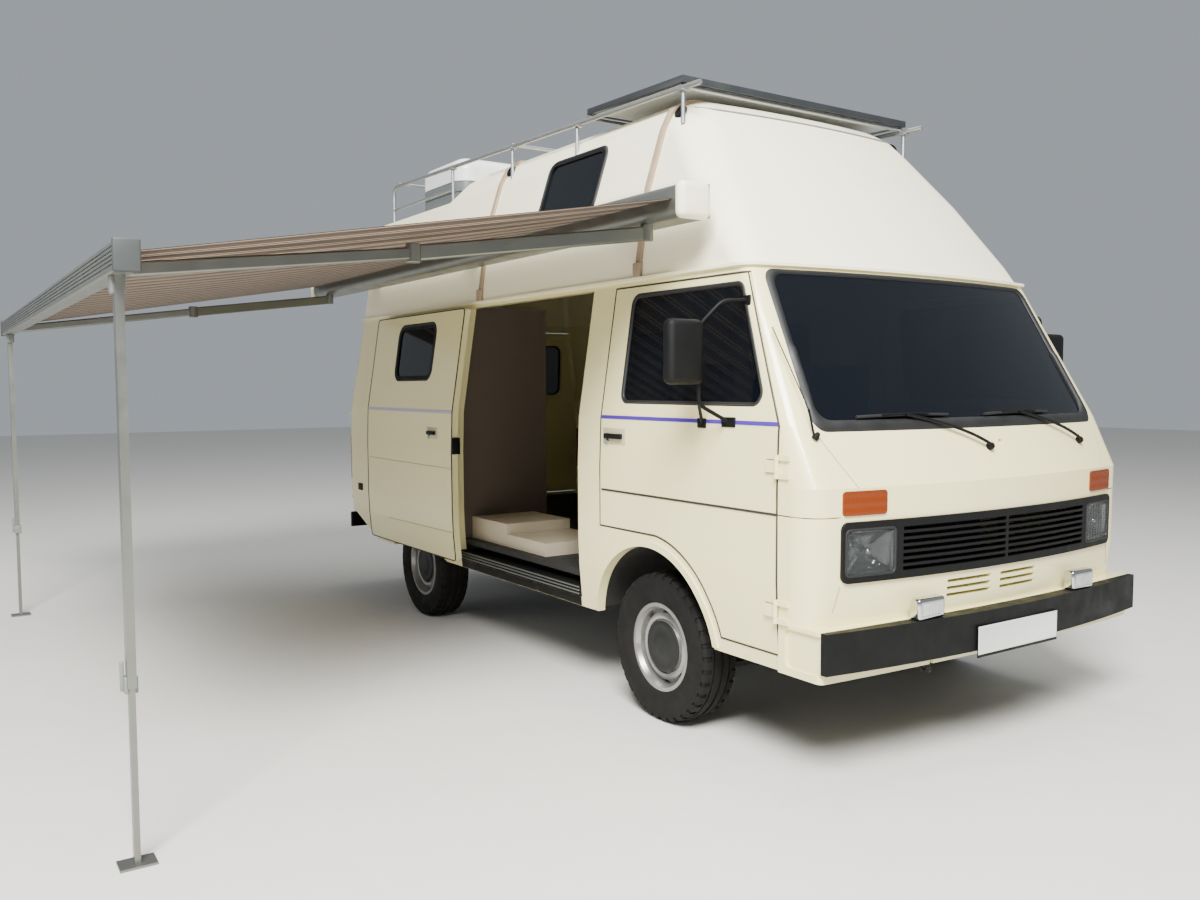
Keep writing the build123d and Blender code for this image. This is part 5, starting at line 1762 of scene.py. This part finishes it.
@dataclass
class Awning:
    """The striped cloth between the cassette and the lead rail, and the frame's fittings.

    The cloth's inner and outer edge have an x and a z; a cap has its name, its two ends in y and its rounding.
    """

    near: float = -275.0
    far: float = 4115.0
    inner: Span = (-1110.0, 2222.0)
    outer: Span = (-3090.0, 1879.0)
    sag: float = 16.0
    lift: float = 2.0
    thickness: float = 0.0012
    steps: int = 40
    cassette_x: Span = (-1116.0, -957.0)
    cassette_z: Span = (2143.0, 2292.0)
    cassette_caps: tuple[tuple[str, float, float, float], ...] = (
        ("near", -344.0, -286.0, 0.028), ("far", 4112.0, 4171.5, 0.012),
    )
    rail_x: Span = (-3163.0, -3087.0)
    rail_z: Span = (1811.0, 1909.0)
    rail_caps: tuple[tuple[str, float, float, float], ...] = (
        ("near", -336.0, -312.0, 0.006), ("far", 4150.0, 4171.5, 0.006),
    )
    leg_x: float = -3125.0
    legs: tuple[float, ...] = (-150.0, 3990.0)
    elbow_x: float = -2060.0
    elbow_z: float = 1982.0
    elbows: tuple[float, ...] = (90.0, 3750.0)
    elbow: tuple[Span, ...] = (
        (-0.036, 0.0), (-0.036, 0.026), (-0.033, 0.0295), (0.033, 0.0295), (0.036, 0.026), (0.036, 0.0),
    )

    def build(self) -> None:
        """Stretch the cloth, then fit the frame's caps and joints."""
        self.cloth()
        self.caps("cassette_cap", self.cassette_caps, self.cassette_x, self.cassette_z, 6, GELCOAT)
        self.caps("lead_rail_cap", self.rail_caps, self.rail_x, self.rail_z, 3, PLASTIC_DARK)
        for number, y in enumerate(self.legs):
            self.leg(number, y)
        for number, y in enumerate(self.elbows):
            cover = lathe(self.elbow, 32, turned(at(self.elbow_x, y, self.elbow_z), (-90, "Y")))
            settle(cover, f"awning_elbow_cover_{number}", ALUMINIUM_SHADE_DARKENED)

    def cloth(self) -> None:
        clear_selection()
        bpy.ops.mesh.primitive_grid_add(x_subdivisions=self.steps, y_subdivisions=self.steps * 2, size=2.0)
        cloth = bpy.context.object
        for vertex in cloth.data.vertices:
            run = (vertex.co.x + 1) / 2
            along = (vertex.co.y + 1) / 2
            x = self.outer[0] + (self.inner[0] - self.outer[0]) * run
            z = self.outer[1] + (self.inner[1] - self.outer[1]) * run
            y = self.near + (self.far - self.near) * along
            edge = min(1.0, 8 * along * (1 - along))
            dip = self.sag * math.sin(math.pi * run) * edge
            vertex.co = at(x, y, z + self.lift - dip)
        apply_modifier(cloth, "SOLIDIFY", thickness=self.thickness, offset=0.0)
        piece = settle(cloth, "awning_cloth", AWNING)
        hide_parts("awning_fabric")

    def caps(
        self, name: str, ends: Sequence[tuple[str, float, float, float]], deep: Span, tall: Span, segments: int,
        finish: Finish,
    ) -> None:
        """Cap both ends of the cassette or the lead rail.

        Args:
            name: The caps' name.
            ends: Each cap's own name, its two ends along the van and its rounding.
            deep: Its two sides across the van.
            tall: Its lower and upper side.
            segments: Steps in each rounded edge.
            finish: The caps' finish.
        """
        for word, near, far, rounding in ends:
            cap = block(at(deep[0], near, tall[0]), at(deep[1], far, tall[1]), rounding, segments)
            settle(cap, f"{name}_{word}", finish)

    def leg(self, number: int, y: float) -> None:
        """Fit one leg's sleeve, its clamp lever and its head.

        Args:
            number: Which leg.
            y: Its place along the van.
        """
        x = self.leg_x
        for name, low, high, edge in (
            ("sleeve", at(x - 20, y - 20, 540), at(x + 20, y + 20, 592), 0.004),
            ("lever", at(x - 30, y - 6, 548), at(x - 18, y + 6, 640), 0.003),
            ("head", at(x - 22, y - 24, 1762), at(x + 22, y + 24, 1816), 0.005),
        ):
            settle(block(low, high, edge), f"leg_{name}_{number}", PLASTIC_GREY)


@dataclass(frozen=True)
class Pad:
    """One seat pad's front, rear, lower and upper place, and how its crown looks and is sewn.

    The channels are shares of its length or height.
    """

    name: str
    front: float
    rear: float
    low: float
    high: float
    crown: Crown
    channels: tuple[float, ...]

    def lines(self) -> list[float]:
        """Give the channels' places along y or up z."""
        start, end = (self.front, self.rear) if self.crown is Crown.UP else (self.low, self.high)
        return [start + (end - start) * share for share in self.channels]


@dataclass
class Seats:
    """The two cab seats' sewn cushions and backs, blown up as cloth."""

    x: float = 490.0
    half: float = 245.0
    pads: tuple[Pad, ...] = (
        Pad("seat_cushion", -260.0, 248.0, 908.0, 1030.0, Crown.UP, (0.3, 0.55, 0.8)),
        Pad("seat_back", 256.0, 370.0, 935.0, 1620.0, Crown.FORWARDS, (0.25, 0.42, 0.59, 0.76)),
    )
    shrink: float = 0.018
    rounding: float = 0.028
    voxel: float = 0.012
    pressure: float = 4.0
    stiffness: float = 15.0
    frames: int = 20
    swell: float = 0.024
    channel_depth: float = 0.007
    channel_width: float = 9.0
    channel_margin: float = 62.0
    channel_fade: float = 25.0
    piping_levels: Span = (0.16, 0.84)
    piping_points: int = 64
    piping_radius: float = 0.004
    piping_reach: float = 20.0

    def build(self) -> None:
        """Blow up one cushion and one back, and copy them to both seats."""
        models = [self.blown(pad) for pad in self.pads]
        for pad, model in zip(self.pads, models):
            for side in Side:
                copy = moved_copy(model, Matrix.Translation(Vector((side.value * self.x / 1000, 0, 0))))
                rows = self.piping(copy, pad, side)
                piece = settle(copy, f"{pad.name}_{side.word}", SEAT_CLOTH, smooth=ROUND)
                if side is Side.RIGHT and pad.crown is Crown.UP:
                    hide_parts("seats")
                for number, row in enumerate(rows):
                    cord = tube(row, self.piping_radius, closed=True)
                    settle(cord, f"{pad.name}_piping_{side.word}_{number}", PIPING, smooth=ROUND)
            bpy.data.objects.remove(model)

    def blown(self, pad: Pad) -> Obj:
        """Model one pad about the van's middle and blow it up.

        Args:
            pad: Its sizes.

        Returns:
            The blown-up pad.
        """
        edge = Vector((self.shrink, self.shrink, self.shrink))
        low, high = at(-self.half, pad.front, pad.low) + edge, at(self.half, pad.rear, pad.high) - edge
        obj = block(low, high, self.rounding, 4)
        obj.data.remesh_voxel_size = self.voxel
        take(obj)
        bpy.ops.object.voxel_remesh()
        self.fill(obj)
        apply_modifier(obj, "SUBSURF", levels=1, render_levels=1)
        self.press_channels(obj, pad)
        return obj

    def fill(self, obj: Obj) -> None:
        """Fill the pad as a cloth bag, and keep each point near where it was.

        Args:
            obj: The remeshed pad.
        """
        scene = bpy.context.scene
        start = [vertex.co.copy() for vertex in obj.data.vertices]
        take(obj)
        cloth = obj.modifiers.new("cloth", "CLOTH")
        cloth.settings.use_pressure = True
        cloth.settings.uniform_pressure_force = self.pressure
        cloth.settings.quality = 6
        cloth.settings.tension_stiffness = self.stiffness
        cloth.settings.compression_stiffness = self.stiffness
        cloth.settings.bending_stiffness = 0.6
        cloth.settings.effector_weights.gravity = 0.0
        cloth.point_cache.frame_start = 1
        cloth.point_cache.frame_end = self.frames
        for number in range(1, self.frames + 1):
            scene.frame_set(number)
        bpy.ops.object.modifier_apply(modifier=cloth.name)
        for vertex, old in zip(obj.data.vertices, start):
            way = vertex.co - old
            if way.length > self.swell:
                vertex.co = old + way * (self.swell / way.length)
        scene.frame_set(1)

    def press_channels(self, obj: Obj, pad: Pad) -> None:
        """Press the sewn channels across the pad.

        Args:
            obj: The pad.
            pad: Its sizes.
        """
        lines = pad.lines()
        inside = self.half - self.channel_margin
        for vertex in obj.data.vertices:
            place = (vertex.co - ZERO) * 1000
            if abs(place.x) > inside:
                continue
            run = place.y if pad.crown is Crown.UP else place.z
            near = min(abs(run - line) for line in lines)
            dip = self.channel_depth * math.exp(-(near / self.channel_width) ** 2)
            share = min(1.0, (inside - abs(place.x)) / self.channel_fade)
            if pad.crown is Crown.UP and place.z > (pad.low + pad.high) / 2:
                vertex.co.z -= dip * share
            elif pad.crown is Crown.FORWARDS and place.y < (pad.front + pad.rear) / 2:
                vertex.co.y += dip * share

    def piping(self, obj: Obj, pad: Pad, side: Side) -> list[list[Vector]]:
        """Give the two cords' lines round the pad, on its skin.

        Args:
            obj: The pad in its place.
            pad: Its sizes.
            side: The van's side.

        Returns:
            Two closed lines of points.
        """

        def reach(middle: float, half: float, turn: float) -> float:
            """Give a place on a square with round corners just outside the pad."""
            return middle + (half + self.piping_reach) * math.copysign(abs(turn) ** 0.25, turn)

        skin = mesh_skin(obj.data)
        rows = []
        for level in self.piping_levels:
            row = []
            for step in range(self.piping_points):
                turn = 2 * math.pi * step / self.piping_points
                x = reach(side.value * self.x, self.half, math.cos(turn))
                if pad.crown is Crown.UP:
                    y = reach((pad.front + pad.rear) / 2, (pad.rear - pad.front) / 2, math.sin(turn))
                    z = pad.low + (pad.high - pad.low) * level
                else:
                    z = reach((pad.low + pad.high) / 2, (pad.high - pad.low) / 2, math.sin(turn))
                    y = pad.front + (pad.rear - pad.front) * level
                row.append(skin.find_nearest(at(x, y, z))[0])
            rows.append(row)
        return rows


@dataclass
class Plates:
    """The blank number plates in their dark holders."""

    width: float = 520.0
    height: float = 110.0
    margin: float = 4.0
    foot_margin: float = 12.0
    thickness: float = 2.4
    sheet: float = 1.2
    front: tuple[float, float, float] = (0.0, -1112.0, 488.0)
    rear: tuple[float, float, float] = (0.0, 3795.0, 490.0)

    def build(self) -> None:
        """Build the front plate and the rear one."""
        self.plate("front", Vector(self.front), -1)
        self.plate("rear", Vector(self.rear), 1)

    def plate(self, name: str, centre: Vector, way: int) -> None:
        """Build one plate.

        Args:
            name: Front or rear.
            centre: The middle of its back, in the van's millimetres.
            way: The sign of y that it faces.
        """
        half, tall = self.width / 2, self.height / 2
        edge, thick = self.margin, self.thickness
        holder = block(
            at(-half - edge, centre.y - (thick if way < 0 else 0), centre.z - tall - self.foot_margin),
            at(half + edge, centre.y + (thick if way > 0 else 0), centre.z + tall + edge),
            thick / 4000,
        )
        settle(holder, f"plate_holder_{name}", PLASTIC)
        back = centre.y + way * thick
        near, far = sorted((back, back + way * self.sheet))
        plate = block(at(-half, near, centre.z - tall), at(half, far, centre.z + tall), 0.0004)
        with editing(plate):
            pick_faces(plate, lambda face: face.normal.y * way > 0.9 and face.calc_area() > 0.02)
            inset((0.006, 0.0), (0.0015, -0.0006))
        settle(plate, f"number_plate_{name}", PLATE)


@dataclass
class Wheels:
    """Tyres with tread and plain sidewalls, and the wheels' flat caps.

    The outlines have a place on the axle and a radius: half of a sidewall, and the tread, in millimetres.
    """

    radius: float = 330.0
    sectors: int = 72
    places: tuple[tuple[str, float], ...] = (("front", 0.0), ("rear", 2518.0))
    plane: float = 882.0
    sidewall: tuple[Span, ...] = (
        (76, 190), (82, 197), (88, 206), (95, 226), (99, 250), (98, 272), (94, 292), (91, 300), (92, 304),
        (88, 316), (83, 322),
    )
    tread: tuple[Span, ...] = (
        (76, 325), (50, 327.5), (46, 327.8), (46, 320.5), (38, 320.8), (38, 328.2), (12, 329.2), (8, 329.3),
        (8, 321.5), (-8, 321.5), (-8, 329.3), (-12, 329.2), (-38, 328.2), (-38, 320.8), (-46, 320.5),
        (-46, 327.8), (-50, 327.5), (-76, 325),
    )
    cap: tuple[Span, ...] = (
        (0.056, 0.0), (0.056, 0.112), (0.061, 0.1135), (0.066, 0.108), (0.068, 0.098), (0.066, 0.09),
        (0.065, 0.06), (0.069, 0.052), (0.071, 0.03), (0.0715, 0.0),
    )
    shoulder: Span = (302.0, 327.0)
    shoulder_x: float = 60.0
    groove_edge: float = 0.0035
    groove_depth: float = 0.006

    def build(self) -> None:
        """Model one tyre and one cap, and place a copy of each at every wheel."""
        tyre = self.tyre()
        cap = lathe(self.cap, 64)
        for place, y in self.places:
            for side in Side:
                body = f"wheel_{place}_{side.word}"
                seat = turned(at(side.value * self.plane, y, self.radius), (0 if side is Side.LEFT else 180, "Z"))
                piece = settle(moved_copy(tyre, seat), f"road_tyre_{place}_{side.word}", TYRE, body)
                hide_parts(f"tyre_{place}_{side.word}")
                settle(moved_copy(cap, seat), f"wheel_cap_{place}_{side.word}", CAP, body=body, smooth=SOFT)
        bpy.data.objects.remove(tyre)
        bpy.data.objects.remove(cap)

    def tyre(self) -> Obj:
        """Spin the section round and press the shoulder grooves.

        Returns:
            The tyre about the frame's origin.
        """
        section = self.sidewall + self.tread + tuple((-x, radius) for x, radius in reversed(self.sidewall))
        obj = lathe([(x / 1000, radius / 1000) for x, radius in section], self.sectors)

        def grooved(face: bmesh.types.BMFace) -> bool:
            """Say whether a face becomes a groove of the shoulder.

            Args:
                face: The face of the tyre.

            Returns:
                True on every second sector of the shoulders.
            """
            middle = face.calc_center_median()
            reach = math.hypot(middle.y, middle.z) * 1000
            sector = int((math.atan2(middle.z, middle.y) / (2 * math.pi) * self.sectors) + self.sectors) % 2
            on_shoulder = self.shoulder[0] < reach < self.shoulder[1] and abs(middle.x) * 1000 > self.shoulder_x
            return on_shoulder and sector == 0

        with editing(obj):
            pick_faces(obj, grooved)
            bpy.ops.mesh.inset(thickness=self.groove_edge, use_individual=False)
            bpy.ops.mesh.extrude_region_shrink_fatten(TRANSFORM_OT_shrink_fatten={"value": -self.groove_depth})
        return obj


@dataclass
class CadFinishes:
    """The finish of each CAD node that stays, from its slot in the record."""

    special: dict[str, Finish] = field(default_factory=lambda: {"grille": PLASTIC, "awning_arms": ALUMINIUM_SHADE_DARKENED})

    def build(self) -> None:
        """Give every node its material."""
        slots = {entry["node"]: entry["material_slot"] for entry in frame["record"]["subparts"]}
        for name, obj in frame["nodes"].items():
            finish = self.special.get(name, SLOT_FINISH.get(slots[name], PAINT))
            obj.data.materials.clear()
            obj.data.materials.append(finish.build())
            LOG.info("node %s: slot %s, finish %s", name, slots[name], finish.name)


@dataclass(frozen=True)
class SoftLight:
    """One square light: where it hangs, what it points at, its side in metres and its power in watts."""

    name: str
    place: tuple[float, float, float]
    target: tuple[float, float, float]
    size: float
    power: float


@dataclass
class Studio:
    """The pale floor, the soft lights and the camera, which stands where the photograph was taken from."""

    floor_size: float = 60.0
    lights: tuple[SoftLight, ...] = (
        SoftLight("key_light", (-4.4, -6.8, 7.8), (0.5, -1.0, 0.8), 4.0, 3500.0),
        SoftLight("fill_light", (-8.0, 3.0, 3.5), (0.0, 0.5, 1.0), 5.0, 90.0),
        SoftLight("top_light", (1.0, 0.0, 9.0), (0.9, 0.0, 0.0), 7.0, 500.0),
    )
    sky_colour: str = "DCE4EC"
    sky_strength: float = 0.5
    eye: tuple[float, float, float] = (-2.705, -5.062, 1.486)
    heading: float = -33.86
    pitch: float = -3.69
    roll: float = 0.19
    lens: float = 30.6

    def build(self) -> None:
        """Set the stage."""
        clear_selection()
        bpy.ops.mesh.primitive_plane_add(size=self.floor_size, location=(0, 0, 0))
        floor = bpy.context.object
        floor.name = "studio_floor"
        floor.data.materials.append(STUDIO_FLOOR.build())
        for light in self.lights:
            self.hang(light)
        self.sky()
        self.camera()

    def hang(self, light: SoftLight) -> None:
        """Hang one soft light.

        Args:
            light: Its place, size and power.
        """
        bpy.ops.object.light_add(type="AREA", location=light.place)
        lamp = bpy.context.object
        lamp.name = light.name
        lamp.data.size = light.size
        lamp.data.energy = light.power
        lamp.rotation_euler = (Vector(light.target) - Vector(light.place)).to_track_quat("-Z", "Y").to_euler()

    def sky(self) -> None:
        """Give the soft light from all round."""
        world = bpy.data.worlds.new("soft_daylight")
        world.use_nodes = True
        tree = world.node_tree
        tree.nodes.clear()
        glow = add(tree, "ShaderNodeBackground", None, Color=linear(self.sky_colour), Strength=self.sky_strength)
        add(tree, "ShaderNodeOutputWorld", None, Surface=glow.outputs[0])
        bpy.context.scene.world = world

    def camera(self) -> None:
        """Stand the camera and turn it."""
        bpy.ops.object.camera_add(location=self.eye)
        camera = bpy.context.object
        camera.name = "view_camera"
        camera.data.sensor_width = 36.0
        camera.data.lens = self.lens
        camera.matrix_world = turned(Vector(self.eye), (self.heading, "Z"), (90 + self.pitch, "X"), (-self.roll, "Z"))
        bpy.context.scene.camera = camera


def main() -> None:
    """Build the scene's pieces in order."""
    logging.basicConfig(level=logging.INFO, format="%(message)s")
    parts = (
        Studio(), CadFinishes(), Glazings(), Livery(), PanelGaps(), Lamps(), Handles(), Mirrors(), Wipers(),
        RoofLoad(), Trim(), Awning(), Seats(), Plates(), Wheels(),
    )
    for part in parts:
        LOG.info("== %s", type(part).__name__)
        part.build()
    bpy.context.view_layer.update()


if __name__ == "__main__":
    main()
